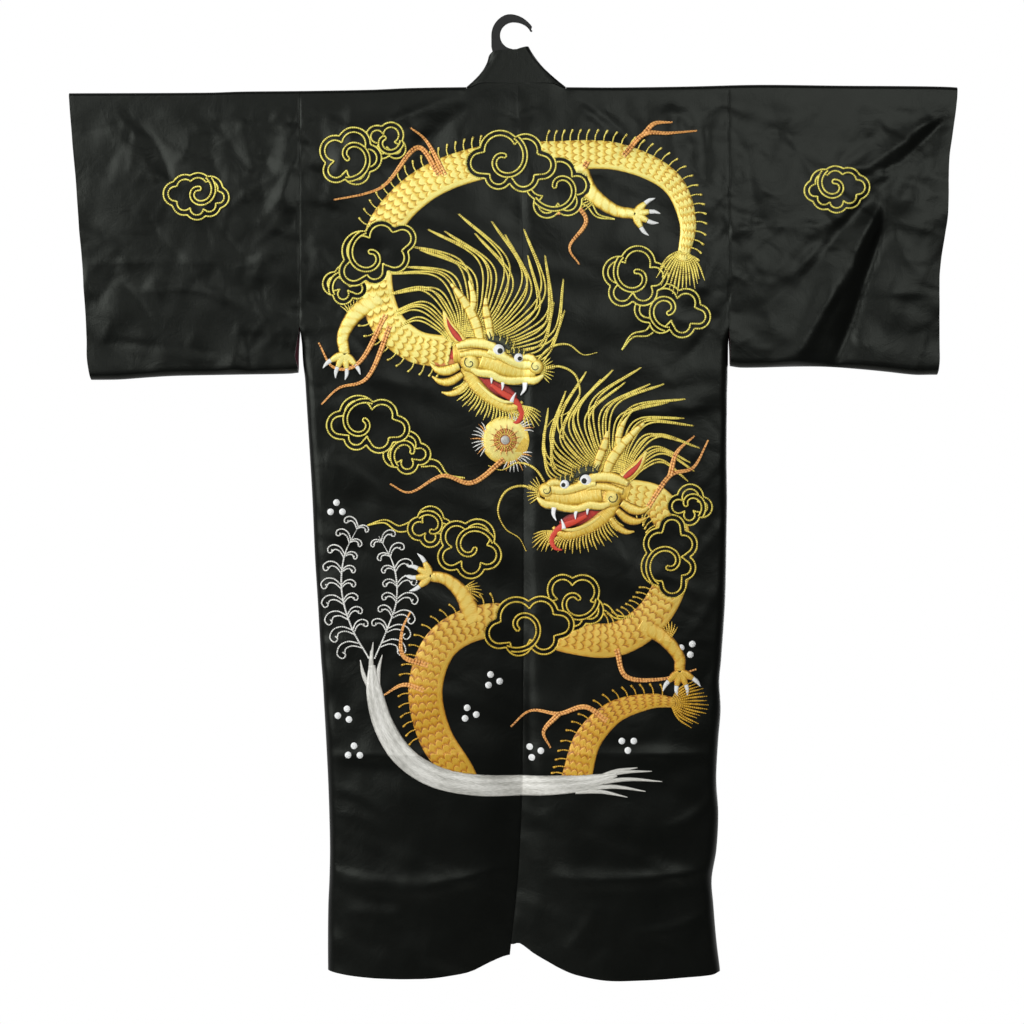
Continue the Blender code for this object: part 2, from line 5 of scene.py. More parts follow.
import bpy
import numpy as np
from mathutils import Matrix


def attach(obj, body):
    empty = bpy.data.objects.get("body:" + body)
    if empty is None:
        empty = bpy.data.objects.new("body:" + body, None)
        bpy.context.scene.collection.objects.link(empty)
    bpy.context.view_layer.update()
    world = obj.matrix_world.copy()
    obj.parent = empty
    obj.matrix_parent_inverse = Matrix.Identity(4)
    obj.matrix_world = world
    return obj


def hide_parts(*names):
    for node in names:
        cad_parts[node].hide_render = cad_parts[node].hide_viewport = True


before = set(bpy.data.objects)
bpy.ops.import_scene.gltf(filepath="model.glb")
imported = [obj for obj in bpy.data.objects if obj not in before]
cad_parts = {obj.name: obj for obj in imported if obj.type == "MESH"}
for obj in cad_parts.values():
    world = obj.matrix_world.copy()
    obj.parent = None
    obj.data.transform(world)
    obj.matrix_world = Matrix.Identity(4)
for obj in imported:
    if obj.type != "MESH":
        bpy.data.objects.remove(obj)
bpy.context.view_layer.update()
mm = 0.001


def linearColour(hexColour):
    parts = [int(hexColour[i:i + 2], 16) / 255 for i in (1, 3, 5)]
    return [p / 12.92 if p <= 0.04045 else ((p + 0.055) / 1.055) ** 2.4 for p in parts] + [1.0]


def addNode(tree, kind, inputs=None, **settings):
    node = tree.nodes.new(kind)
    for name, value in settings.items():
        setattr(node, name, value)
    for socket, value in (inputs or {}).items():
        if isinstance(value, bpy.types.NodeSocket):
            tree.links.new(value, node.inputs[socket])
        else:
            node.inputs[socket].default_value = value
    return node


def newFinish(name, hexColour, roughness, **sockets):
    finish = bpy.data.materials.new(name)
    finish.use_nodes = True
    shader = finish.node_tree.nodes["Principled BSDF"]
    shader.inputs["Base Color"].default_value = linearColour(hexColour)
    shader.inputs["Roughness"].default_value = roughness
    for socket, value in sockets.items():
        shader.inputs[socket.replace("_", " ")].default_value = value
    return finish, finish.node_tree, shader


def headingAt(degrees):
    return np.array([math.cos(math.radians(degrees)), math.sin(math.radians(degrees))])


def linkedObject(name, mesh):
    made = bpy.data.objects.new(name, mesh)
    bpy.context.collection.objects.link(made)
    return made


def setRamp(ramp, stops):
    elements = ramp.color_ramp.elements
    while len(elements) < len(stops):
        elements.new(0.5)
    for element, (place, hexColour) in zip(elements, stops):
        element.position = place
        element.color = linearColour(hexColour)


# Shape of the hung cloth. The same tables as the solids have, with finer creases added.
robe = {
    "cloth": 1.6, "band": 2.2, "lining": 1.0,  # thicknesses of the walls
    "seamGap": 0.3, "sewnGap": 0.01,  # between pieces, and between the halves at the centre back
    "shoulderRadius": 6.2, "sleeveDepth": 12.0, "bodyDepth": 13.0, "frontDepth": 12.0,
    "swellDrop": 160,  # how far below the shoulder the cloth reaches its full depth
    "neckHalf": 73, "neckShift": 4, "bandWidth": 50,
    "neckRise": 4.6, "neckDip": 3.1, "neckDepth": (7.4, 5.4),  # neckline: at the back, at its corners
    "neckTurn": 30,  # degrees of the shoulder's round that the neck's corner has already turned
    "footSlant": 16,  # how far the collar's free edge rises at its foot
    "armholeEnd": -443, "slitShows": 4.4, "sideRound": 14, "sleeveRound": 10,
    "frontLift": 9,  # how much higher the fronts' hem hangs
    "frontTop": -104, "frontDrop": 1288,
    "closing": 34,  # below the armhole the sides close within this drop
    "hemLobe": 19, "unevenness": 0.30,
    "roll": {"armhole": (0.5, 2.0), "centre": (0.35, 1.7)},  # depth and reach of each seam's roll
    "shoulder": [  # x, z
        (-650, -104), (-440, -103), (-395, -101.5), (-310, -100.6), (-208, -98.7), (-150, -96.2),
        (-73, -95), (0, -95), (73, -95), (150, -95.4), (255, -94), (355, -91.6), (470, -92.8),
        (600, -94), (641, -96.5), (650, -101),
    ],
    "sides": [  # z, left x, right x
        (-1386, -271.6, 302.4), (-1342, -271.8, 297.0), (-1290, -271.2, 292.6), (-1254, -269.6, 290.2),
        (-1210, -268.8, 297.2), (-1158, -269.8, 299.9), (-1107, -271.6, 297.0), (-1049, -274.5, 299.9),
        (-1005, -277.0, 303.4), (-961, -279.5, 301.6), (-932, -281.8, 304.3), (-850, -286.5, 310.0),
        (-785, -290.6, 311.7), (-698, -294.5, 313.0), (-639, -297.9, 312.4), (-545, -303.8, 313.0),
        (-522, -305.3, 313.8), (-498, -308.2, 314.1), (-470, -309.9, 314.4), (-443, -312.6, 314.6),
    ],
    "hemLeft": [  # x, z
        (-272, -1386), (-238, -1391.4), (-194, -1394.3), (-128, -1394.3), (-84, -1390),
        (-62, -1385.5), (-40, -1375.3), (-18, -1366.5), (-5, -1364),
    ],
    "hemRight": [
        (-5, -1349), (4, -1347), (26, -1360.6), (48, -1372), (70, -1382.6), (92, -1390),
        (135, -1397), (179, -1397), (245, -1394), (289, -1391.4), (300, -1388),
    ],
    "backSeam": [  # z, x
        (-1400, -9), (-1349, -3.6), (-1240, 7.4), (-1080, 13.6), (-600, 14.6), (-280, 12), (-90, 6),
    ],
    "valley": [  # z, depth of the centre fold, its left and its right width
        (-1400, 12, 65, 90), (-1250, 11, 55, 48), (-1080, 8.5, 45, 12), (-900, 6.5, 40, 10),
        (-600, 4.5, 32, 9), (-300, 2.6, 24, 9), (-90, 0.8, 18, 9),
    ],
    "cuffLeft": [  # z, x
        (-524, -617.5), (-493, -622.5), (-463, -623), (-405, -626), (-346, -630), (-287, -635),
        (-229, -639), (-171, -645), (-112, -649.6), (-103, -650),
    ],
    "cuffRight": [
        (-517, 619.5), (-493, 621.7), (-375, 621.7), (-346, 624.6), (-317, 629), (-288, 633.4),
        (-258, 634.8), (-200, 636.3), (-170, 640.7), (-141, 645), (-112, 648.4), (-98, 649),
    ],
    "sleeveHemLeft": [  # x, z
        (-620, -523.5), (-590, -523), (-546, -520), (-503, -517.7), (-415, -516), (-327, -514.5),
        (-312, -513),
    ],
    "sleeveHemRight": [
        (312, -503), (333, -505.7), (421, -504), (465, -504.5), (509, -507.5), (553, -511.5),
        (597, -516), (622, -516),
    ],
    "frontEdge": [  # z, distance from the middle
        (-1400, 96), (-1000, 80), (-700, 71), (-300, 67), (-160, 70), (-100, 73),
    ],
    "collarTop": {  # each half: share of the way round, then x, y, z of the band's top edge
        -1: [
            (0.0, 6, -6.4, -40.2), (0.3, -11, -6.4, -41.2), (0.55, -22, -6.3, -41.8),
            (0.7, -31, -5.2, -44.0), (0.8, -36.4, -0.5, -50), (0.9, -35.4, 6, -53.5),
            (1.0, -31.5, 7.6, -57),
        ],
        1: [
            (0.0, 6, -6.4, -39.8), (0.3, 11, -6.4, -38.2), (0.55, 16.5, -6.3, -36.8),
            (0.7, 20.0, -5.0, -36.2), (0.8, 22.6, -0.5, -36.4), (0.9, 22.0, 6, -40),
            (1.0, 24.0, 7.6, -48),
        ],
    },
}

# x0, z0, x1, z1, bow, width on the left, width on the right, rise. Soft folds swell and fade.
softFolds = {
    "back": [
        (632, -134, 437, -331, 14, 12, 24, -4.6), (600, -190, 500, -330, 8, 26, 16, 3.2),
        (545, -275, 470, -508, 6, 12, 30, -4.8), (478, -372, 398, -508, 4, 18, 14, 3.6),
        (-572, -124, -510, -222, -6, 12, 18, -3.4), (-332, -130, -346, -310, 8, 16, 16, 3.0),
        (-600, -420, -480, -500, 6, 20, 20, 2.6), (-78, -104, -166, -226, 8, 20, 24, -4.4),
        (82, -102, 150, -176, -4, 16, 18, -3.0), (-286, -108, -272, -236, 0, 12, 14, -2.8),
        (262, -110, 276, -250, 6, 14, 12, -2.6), (-296, -470, -150, -560, 10, 18, 22, 2.6),
        (306, -540, 140, -570, 8, 16, 20, 2.6), (-268, -1246, -30, -1236, -22, 14, 16, 2.5),
        (288, -1240, 60, -1250, 8, 16, 14, 3.4), (-268, -1072, -120, -1068, 0, 14, 14, 2.2),
        (294, -1072, 150, -1070, 0, 14, 14, 2.4),
    ],
    "backFine": [
        (600, -170, 520, -262, 8, 7, 9, 1.3), (560, -240, 470, -420, 10, 7, 12, -1.5),
        (508, -330, 452, -470, 4, 8, 8, 1.3), (440, -300, 350, -420, -8, 9, 12, 1.2),
        (345, -325, 372, -250, 3, 5, 6, -1.0), (336, -350, 392, -300, 4, 5, 6, 0.9),
        (330, -170, 352, -300, 6, 8, 8, -1.1), (410, -120, 380, -210, 4, 9, 8, 0.9),
        (-320, -180, -352, -250, 3, 6, 7, -1.2), (-324, -230, -378, -300, 4, 6, 7, 1.1),
        (-322, -290, -372, -330, 4, 5, 6, -1.0), (-330, -330, -410, -360, 3, 6, 6, 0.9),
        (-640, -300, -560, -360, 6, 9, 9, 1.1), (-590, -170, -470, -260, 10, 10, 14, 1.0),
        (-460, -130, -430, -230, 4, 10, 10, -0.9), (-410, -120, -380, -240, 6, 9, 9, 0.9),
        (-540, -380, -380, -430, 12, 8, 9, 1.1), (-600, -470, -420, -490, 4, 6, 7, -0.9),
        (-300, -330, -230, -420, 8, 8, 10, 1.3), (-300, -400, -200, -500, 6, 8, 10, -1.2),
        (300, -330, 240, -420, 8, 8, 10, 1.3), (306, -420, 210, -520, 10, 9, 10, -1.3),
        (-240, -105, -236, -200, 0, 8, 9, 1.1), (230, -105, 236, -200, 0, 8, 9, 1.1),
        (-160, -100, -190, -180, 2, 8, 8, 1.0), (170, -100, 196, -170, 2, 8, 8, 0.9),
        (-30, -100, -60, -160, 2, 8, 9, -1.0), (40, -100, 60, -150, 2, 7, 8, 0.9),
        (-280, -640, -190, -700, 12, 9, 10, 1.2), (-276, -760, -170, -800, 8, 8, 9, -1.0),
        (-270, -900, -190, -940, 6, 8, 9, 1.0), (300, -640, 230, -700, 10, 8, 9, 1.1),
        (302, -700, 240, -790, 10, 7, 9, -1.1), (298, -820, 250, -900, 6, 8, 8, 1.1),
        (296, -920, 240, -1010, 6, 7, 8, -1.0), (292, -1130, 210, -1180, 8, 8, 10, 1.3),
        (-262, -1120, -180, -1160, 8, 8, 10, 1.2), (-250, -1300, -120, -1320, 10, 10, 12, 1.2),
        (286, -1300, 170, -1330, 8, 9, 12, 1.3), (120, -1290, 60, -1370, 6, 9, 12, 1.4),
        (40, -1200, 26, -1340, 4, 10, 8, 1.4), (-40, -1240, -60, -1360, -4, 9, 12, 1.5),
        (-110, -1290, -130, -1370, -4, 10, 10, 1.0), (200, -1040, 100, -1020, 8, 9, 9, 0.8),
    ],
    "front": [
        (-560, -150, -430, -330, 10, 22, 22, -2.4), (560, -150, 440, -330, -10, 22, 22, -2.4),
        (-230, -480, -190, -1300, 12, 34, 34, -2.8), (215, -520, 190, -1320, -10, 36, 30, -3.0),
        (-250, -1072, 250, -1072, 0, 14, 14, 2.0), (-250, -1246, 250, -1246, 0, 14, 14, 2.0),
    ],
    "frontFine": [
        (-600, -180, -480, -280, 8, 9, 12, 1.1), (600, -180, 480, -280, -8, 9, 12, 1.1),
        (-520, -300, -400, -440, 8, 9, 12, -1.1), (520, -300, 400, -450, -8, 9, 12, -1.1),
        (-320, -230, -372, -300, 4, 6, 7, 1.0), (320, -230, 372, -300, 4, 6, 7, 1.0),
        (-296, -400, -210, -520, 8, 9, 10, 1.2), (300, -400, 220, -520, 8, 9, 10, 1.2),
        (-250, -110, -230, -240, 4, 9, 10, -1.0), (240, -110, 232, -240, 4, 9, 10, -1.0),
        (-150, -140, -190, -300, 6, 10, 12, 1.0), (140, -140, 190, -320, 6, 10, 12, 1.0),
        (-270, -700, -200, -820, 8, 10, 10, 1.1), (290, -720, 220, -840, 8, 10, 10, 1.1),
        (-150, -500, -120, -900, 10, 12, 12, 1.0), (130, -560, 160, -980, 10, 12, 12, 1.0),
        (-240, -1130, -150, -1170, 8, 9, 10, 1.1), (250, -1140, 160, -1190, 8, 9, 10, 1.1),
    ],
}
# Pressed creases from the packet: the same columns, but each has a sharp edge.
sharpFolds = {
    "back": [
        (-264, -1071, -60, -1069, 0, 9, 4, 1.5), (292, -1070, 40, -1069, 0, 9, 4, 1.5),
        (-264, -1237, -10, -1232, -18, 12, 4, 1.5), (286, -1238, 70, -1248, 6, 12, 4, 1.5),
        (-622, -353, -420, -352, 2, 8, 3, 1.0), (-626, -394, -380, -396, 3, 8, 3, 1.0),
        (624, -401, 470, -402, -2, 8, 3, 1.0), (-300, -560, -160, -574, 4, 7, 3, 0.8),
        (306, -560, 180, -572, 4, 7, 3, 0.8), (-282, -905, -150, -902, 2, 8, 3, 0.8),
        (300, -905, 170, -902, 2, 8, 3, 0.8), (630, -250, 560, -262, 3, 7, 3, 0.8),
        (-28, -124, 6, -141, 0, 7, 4, -1.5), (46, -122, 8, -141, 0, 4, 7, -1.5),
    ],
    "front": [
        (-262, -1071, -100, -1069, 0, 9, 4, 1.4), (288, -1070, 100, -1069, 0, 9, 4, 1.4),
        (-262, -1240, -100, -1238, 0, 10, 4, 1.5), (284, -1240, 100, -1238, 0, 10, 4, 1.5),
        (-622, -353, -420, -352, 2, 8, 3, 1.0), (622, -353, 420, -352, 2, 8, 3, 1.0),
        (-284, -905, -110, -902, 2, 8, 3, 0.8), (298, -905, 110, -902, 2, 8, 3, 0.8),
    ],
}


# Planes between a sharp ridge on their left and a sharp valley on their right:
# rise, fade on the left, fade on the right, then rows of z, x of the ridge, x of the valley.
foldPlanes = {
    "back": [
        (4.4, 46, 10, [(-508, 400, 467), (-502, 404, 470), (-438, 443.6, 494), (-372, 483, 516.8),
                       (-357, 490.4, 524), (-307, 514, 538.8), (-262, 536, 543)]),
        (3.4, 30, 9, [(-216, 516, 544), (-203, 533, 568), (-187, 556, 585.6), (-178, 571, 594),
                      (-163, 582.7, 610.5), (-152, 601.7, 622), (-138, 630, 634)]),
        (1.8, 16, 14, [(-372, 408, 424), (-340, 436, 452), (-304, 462, 480), (-270, 492, 505),
                       (-236, 517, 524)]),
        (4.2, 40, 22, [(-262, -272, -190), (-221, -262, -168), (-184, -244, -140), (-155, -202, -106),
                       (-133, -146, -78), (-106, -88, -64)]),
        (2.2, 14, 8, [(-228, -524, -500), (-200, -536, -510), (-168, -552, -528), (-132, -580, -566)]),
        (1.8, 12, 8, [(-508, -412, -384), (-486, -404, -388), (-458, -398, -392)]),
        (2.0, 24, 10, [(-190, 152, 182), (-150, 128, 150), (-110, 84, 96)]),
        (1.6, 14, 10, [(-350, 598, 628), (-318, 606, 640), (-286, 612, 634)]),
    ],
    "front": [
        (2.6, 24, 10, [(-480, 420, 468), (-400, 452, 500), (-300, 510, 536), (-240, 548, 560)]),
        (2.2, 20, 10, [(-480, -478, -440), (-380, -520, -478), (-280, -566, -540)]),
        (2.0, 30, 16, [(-420, -262, -196), (-300, -232, -170), (-160, -170, -140)]),
        (2.0, 30, 16, [(-440, 190, 252), (-300, 170, 228), (-160, 140, 166)]),
    ],
}

# Crumpling: short creases with one sharp side, scattered over each region of the cloth.
crumple = {
    "seed": 21, "reach": {"regions": (16, 58), "puckers": (6, 20)}, "bow": {"regions": 9, "puckers": 4},
    "regions": [  # x from, x to, z from, z to, how many, least and most rise
        (-640, -320, -510, -112, 74, 0.35, 1.25), (320, 640, -500, -112, 84, 0.35, 1.35),
        (-305, -170, -520, -112, 30, 0.3, 1.1), (180, 305, -520, -112, 34, 0.3, 1.1),
        (-170, 180, -240, -108, 30, 0.3, 0.9), (-300, -200, -1000, -520, 24, 0.3, 0.9),
        (200, 305, -1060, -520, 30, 0.3, 0.9), (-270, 290, -1380, -1130, 26, 0.2, 0.6),
        (-200, 200, -1130, -420, 52, 0.2, 0.65),
    ],
    "puckers": [  # the same for the short ones that the armhole seams gather
        (-400, -300, -480, -110, 46, 0.4, 1.1), (300, 392, -480, -110, 46, 0.4, 1.1),
        (-300, -236, -460, -110, 26, 0.3, 0.9), (240, 300, -460, -110, 26, 0.3, 0.9),
        (392, 620, -330, -110, 40, 0.3, 0.8), (-620, -400, -420, -110, 36, 0.25, 0.7),
    ],
}


def smooth(t):
    t = np.clip(t, 0.0, 1.0)
    return t * t * (3 - 2 * t)


def readTable(rows, at, column=1):
    keys = np.array([row[0] for row in rows], float)
    values = np.array([row[column] for row in rows], float)
    at = np.clip(np.asarray(at, float), keys[0], keys[-1])
    i = np.clip(np.searchsorted(keys, at, side="right") - 1, 0, len(keys) - 2)
    slopes = np.empty(len(keys))
    slopes[1:-1] = (values[2:] - values[:-2]) / (keys[2:] - keys[:-2])
    slopes[0] = (values[1] - values[0]) / (keys[1] - keys[0])
    slopes[-1] = (values[-1] - values[-2]) / (keys[-1] - keys[-2])
    step = keys[i + 1] - keys[i]
    t = (at - keys[i]) / step
    a, b = values[i], values[i + 1]
    bendA, bendB = slopes[i] * step - (b - a), (b - a) - slopes[i + 1] * step
    return a + (b - a) * t + t * (1 - t) * (bendA * (1 - t) + bendB * t)


def foldRelief(rows, x, z, sharp=False):
    total = np.zeros(np.broadcast(x, z).shape)
    for x0, z0, x1, z1, bow, wideA, wideB, rise in rows:
        length = math.hypot(x1 - x0, z1 - z0)
        ux, uz = (x1 - x0) / length, (z1 - z0) / length
        px, pz = x - x0, z - z0
        along = (px * ux + pz * uz) / length
        t = np.clip(along, 0, 1)
        across = px * -uz + pz * ux - bow * 4 * t * (1 - t)
        width = np.where(across < 0, wideA, wideB)
        fade = smooth((along + 0.15) / 0.4) * smooth((1.15 - along) / 0.4)
        shape = np.exp(-np.abs(across / width)) if sharp else np.exp(-((across / width) ** 2))
        total = total + rise * fade * shape
    return total


def planeRelief(rows, x, z):
    total = np.zeros(np.broadcast(x, z).shape)
    for rise, fadeLeft, fadeRight, edges in rows:
        low, high = edges[0][0], edges[-1][0]
        keys = [row[0] for row in edges]
        left, right = (np.interp(z, keys, [row[k] for row in edges]) for k in (1, 2))
        width = right - left
        inside = 1 - 2 * np.clip((x - left) / width, 0, 1)
        profile = np.where(x < left, np.exp(-np.maximum(0, left - x) / fadeLeft), inside)
        profile = np.where(x > right, -np.exp(-np.maximum(0, x - right) / fadeRight), profile)
        margin = 0.16 * (high - low)
        fade = smooth((z - low) / margin + 0.9) * smooth((high - z) / margin + 0.5)
        total = total + rise * fade * profile * np.minimum(1, width / 22)
    return total


def scatterCreases():
    rng = np.random.RandomState(crumple["seed"])
    rows = []
    for kind in ("regions", "puckers"):
        for x0, x1, z0, z1, count, least, most in crumple[kind]:
            for _ in range(count):
                x, z = rng.uniform(x0, x1), rng.uniform(z0, z1)
                turn, reach = rng.uniform(0, math.pi), rng.uniform(*crumple["reach"][kind])
                dx, dz = reach * math.cos(turn), reach * math.sin(turn)
                if kind == "regions":
                    widths = [rng.uniform(2.5, 5), rng.uniform(8, 20)]
                    rng.shuffle(widths)
                rise = rng.uniform(least, most) * rng.choice([-1, 1])
                bow = rng.uniform(-crumple["bow"][kind], crumple["bow"][kind])
                if kind == "puckers":
                    widths = [3.0, rng.uniform(4, 9)]
                rows.append((x - dx, z - dz, x + dx, z + dz, bow, *widths, rise))
    return rows


def nearRelief(rows, x, z):  # scattered creases, each worked out only on the points near it
    shape = np.broadcast(x, z).shape
    x, z = np.broadcast_to(x, shape).ravel(), np.broadcast_to(z, shape).ravel()
    total = np.zeros(x.size)
    for row in rows:
        reach = math.hypot(row[2] - row[0], row[3] - row[1]) * 0.65 + 70
        near = np.hypot(x - (row[0] + row[2]) / 2, z - (row[1] + row[3]) / 2) < reach
        if near.any():
            total[near] += foldRelief([row], x[near], z[near], True)
    return total.reshape(shape)


crumpleRows = scatterCreases()
waveRng = np.random.RandomState(7)
waveTable = [  # direction, wavelength, phase and share of the cloth's slight unevenness
    (waveRng.uniform(0, math.pi), waveRng.uniform(34, 120), waveRng.uniform(0, 6.3), waveRng.uniform(0.4, 1))
    for _ in range(14)
]


def unevenCloth(x, z):
    total = 0.0
    for turn, wavelength, phase, share in waveTable:
        run = (x * math.cos(turn) + z * math.sin(turn)) * 2 * math.pi / wavelength
        total = total + share * (wavelength / 80) * np.sin(run + phase + 1.3 * np.sin(run * 0.31 + phase))
    return total * robe["unevenness"]


def shoulderZ(x):
    return readTable(robe["shoulder"], x)


def hollowDepth(x, z, full):
    radius = robe["shoulderRadius"]
    drop = np.maximum(0.0, shoulderZ(x) - z)
    arc = np.sqrt(np.maximum(0.0, radius**2 - (radius - np.minimum(drop, radius)) ** 2))
    swell = radius + (full - radius) * smooth((drop - radius) / robe["swellDrop"])
    return np.where(drop < radius, arc, swell)


def foldShare(x, z):
    return smooth((shoulderZ(x) - z - 12) / 84)


def fineShare(x, z):
    return smooth((shoulderZ(x) - z - 6) / 40)


def seamX(z):
    return readTable(robe["backSeam"], z)


def sideX(z, side):
    return readTable(robe["sides"], np.minimum(z, robe["armholeEnd"]), 1 if side < 0 else 2)


def seamRoll(x, z, fromMiddle=None):  # the cloth rolls in along its seams
    armhole = np.minimum(np.abs(x - sideX(-400, -1)), np.abs(x - sideX(-400, 1)))
    deep, reach = robe["roll"]["armhole"]
    roll = deep * np.exp(-((armhole / reach) ** 2)) * smooth((z + 445) / 10)
    if fromMiddle is not None:
        deep, reach = robe["roll"]["centre"]
        roll = roll + deep * np.exp(-((fromMiddle / reach) ** 2)) * smooth((-70 - z) / 20)
    return roll * smooth((shoulderZ(x) - z) / 12)


def fullDepth(x, body, sleeve):
    return body + (sleeve - body) * smooth((np.abs(x) - 250) / 60)


def backDepth(x, z):
    full = fullDepth(x, robe["bodyDepth"], robe["sleeveDepth"])
    depth = hollowDepth(x, z, full) + foldRelief(softFolds["back"], x, z) * foldShare(x, z)
    middle = seamX(z)
    edge = np.where(x < middle, sideX(z, -1), sideX(z, 1))
    share = np.clip(np.abs(x - middle) / np.abs(edge - middle), 0, 1)
    inside = np.abs(x) < np.abs(edge)
    lobe = robe["hemLobe"] * smooth((-450 - z) / 940) * np.sin(math.pi * share) ** 0.8
    across = x - middle
    width = np.where(across < 0, readTable(robe["valley"], z, 2), readTable(robe["valley"], z, 3))
    valley = readTable(robe["valley"], z, 1) * np.exp(-((across / width) ** 2))
    depth = depth + np.where(inside, lobe - valley * smooth((shoulderZ(x) - z) / 30), 0.0)
    extra = foldRelief(softFolds["backFine"], x, z) + foldRelief(sharpFolds["back"], x, z, True)
    extra = extra + planeRelief(foldPlanes["back"], x, z) + nearRelief(crumpleRows, x, z)
    depth = depth + (extra + unevenCloth(x, z)) * fineShare(x, z)
    return depth - seamRoll(x, z, x - middle)


def frontDepth(x, z):
    full = fullDepth(x, robe["frontDepth"], robe["sleeveDepth"] - 2)
    depth = hollowDepth(x, z, full) + foldRelief(softFolds["front"], x, z) * foldShare(x, z)
    extra = foldRelief(softFolds["frontFine"], x, z) + foldRelief(sharpFolds["front"], x, z, True)
    extra = extra + planeRelief(foldPlanes["front"], x, z) + nearRelief(crumpleRows, -x, z) * 0.8
    return depth + (extra + unevenCloth(x + 900, z)) * fineShare(x, z) - seamRoll(x, z)


def shutShare(z):
    return smooth((robe["armholeEnd"] - z) / robe["closing"])


def sideClosing(x, z, side):
    edge = np.clip((sideX(z, side) - x) * side, 0, robe["sideRound"])
    roundOff = np.sqrt(np.maximum(0.0, 1 - (1 - edge / robe["sideRound"]) ** 2))
    return 1 - shutShare(z) * (1 - roundOff)


def unit(vectors):
    return vectors / np.maximum(1e-12, np.linalg.norm(vectors, axis=-1, keepdims=True))


def gridQuads(grid, turned, closedRows=False, exists=None):  # exists is missing where the grid is whole
    rows, columns = grid.shape[:2]
    index = np.arange(rows * columns).reshape(rows, columns)
    if exists is None:
        exists = np.ones((rows, columns), bool)
    if closedRows:
        index = np.vstack([index, index[:1]])
        exists = np.vstack([exists, exists[:1]])
    quads = np.stack([index[:-1, :-1], index[1:, :-1], index[1:, 1:], index[:-1, 1:]], -1).reshape(-1, 4)
    real = (exists[:-1, :-1] & exists[1:, :-1] & exists[1:, 1:] & exists[:-1, 1:]).reshape(-1)
    return quads[real][:, ::-1] if turned else quads[real]


def makeMesh(name, points, faces, finishes, finishIndex=None, uv=None, values=None):
    mesh = bpy.data.meshes.new(name)
    mesh.from_pydata((np.asarray(points) * mm).tolist(), [], [list(map(int, face)) for face in faces])
    for finish in finishes:
        mesh.materials.append(finish)
    if finishIndex is not None:
        mesh.polygons.foreach_set("material_index", np.asarray(finishIndex, np.int32))
    if uv is not None:
        corners = np.empty(len(mesh.loops), np.int32)
        mesh.loops.foreach_get("vertex_index", corners)
        layer = mesh.uv_layers.new(name="threadMap")
        layer.data.foreach_set("uv", np.asarray(uv, np.float32)[corners].ravel())
    for label, numbers in (values or {}).items():
        attribute = mesh.attributes.new(label, "FLOAT", "POINT")
        attribute.data.foreach_set("value", np.asarray(numbers, np.float32))
    mesh.shade_smooth()
    mesh.update()
    return linkedObject(name, mesh)


def pointNormals(grid, quads):
    points = grid.reshape(-1, 3)
    diagonals = np.cross(points[quads[:, 2]] - points[quads[:, 0]], points[quads[:, 3]] - points[quads[:, 1]])
    normals = np.zeros_like(points)
    for corner in range(4):
        np.add.at(normals, quads[:, corner], diagonals)
    return unit(normals).reshape(grid.shape)


def wallFromGrid(name, grid, thick, finishes, turned, fixNormals, closedRows=False, exists=None):
    quads = gridQuads(grid, turned, closedRows, exists)
    outer = grid.reshape(-1, 3)
    inner = outer - fixNormals(pointNormals(grid, quads)).reshape(-1, 3) * thick
    count = len(outer)
    edges = np.concatenate([quads[:, [0, 1]], quads[:, [1, 2]], quads[:, [2, 3]], quads[:, [3, 0]]])
    keys, reverse = edges[:, 0] * count + edges[:, 1], edges[:, 1] * count + edges[:, 0]
    rim = edges[~np.isin(keys, reverse)]
    rims = np.stack([rim[:, 1], rim[:, 0], rim[:, 0] + count, rim[:, 1] + count], -1)
    faces = np.concatenate([quads, quads[:, ::-1] + count, rims])
    finishIndex = np.concatenate([np.zeros(len(quads)), np.ones(len(quads)), np.zeros(len(rims))])
    points = np.concatenate([outer, inner])
    used = np.zeros(len(points), bool)
    used[faces.ravel()] = True
    renumber = np.cumsum(used) - 1
    made = makeMesh(name, points[used], renumber[faces], finishes, finishIndex)
    rounded = np.arange(len(faces)) < 2 * len(quads)  # flat rims leave the cloth's own shading alone
    made.data.polygons.foreach_set("use_smooth", rounded)
    cornerEdges = np.empty(len(made.data.loops), np.int32)
    made.data.loops.foreach_get("edge_index", cornerEdges)
    sharp = np.zeros(len(made.data.edges), bool)
    sharp[cornerEdges[-4 * len(rims):]] = True
    made.data.edges.foreach_set("use_edge_sharp", sharp)
    return made


bodyGrid = {
    "nearColumns": [0, 0.7, 1.6, 2.7, 4.2, 6.5, 10, 14.5, 20, 26, 32.5, 40, 48, 56],  # of 64 to the neck
    "middleColumns": 48, "rowStep": 4.6, "wrapRows": 12, "frontRows": 170,
    "hemZ": -1392.0, "topZ": -122.0, "joinShares": (0.2, 0.4, 0.6, 0.8),
    "sideColumns": [14, 11, 8.4, 6.2, 4.4, 2.9, 1.7, 0.8, 0.25, 0],  # distances from the side's edge
}


def outwardColumns(start, z, side):  # from the start column to the side's edge
    edge = sideX(z, side) - side * robe["seamGap"] / 2
    last = edge - side * bodyGrid["sideColumns"][0]
    middle = start + (last - start) * np.linspace(0, 1, bodyGrid["middleColumns"] + 1)[None, :-1]
    return np.hstack([middle, edge - side * np.array(bodyGrid["sideColumns"])[None, :]])


def columnsAt(z, side):  # every column's x at an array of heights, rows by columns
    z = np.asarray(z, float)[:, None]
    inner = seamX(z) + side * robe["sewnGap"] / 2
    spread = smooth((-110 - z) / 500)
    neck = (side * robe["neckHalf"] + robe["neckShift"]) * (1 - spread) + (inner + side * 80) * spread
    near = inner + (neck - inner) * np.array(bodyGrid["nearColumns"])[None, :] / 64
    return np.hstack([near, outwardColumns(neck, z, side)])


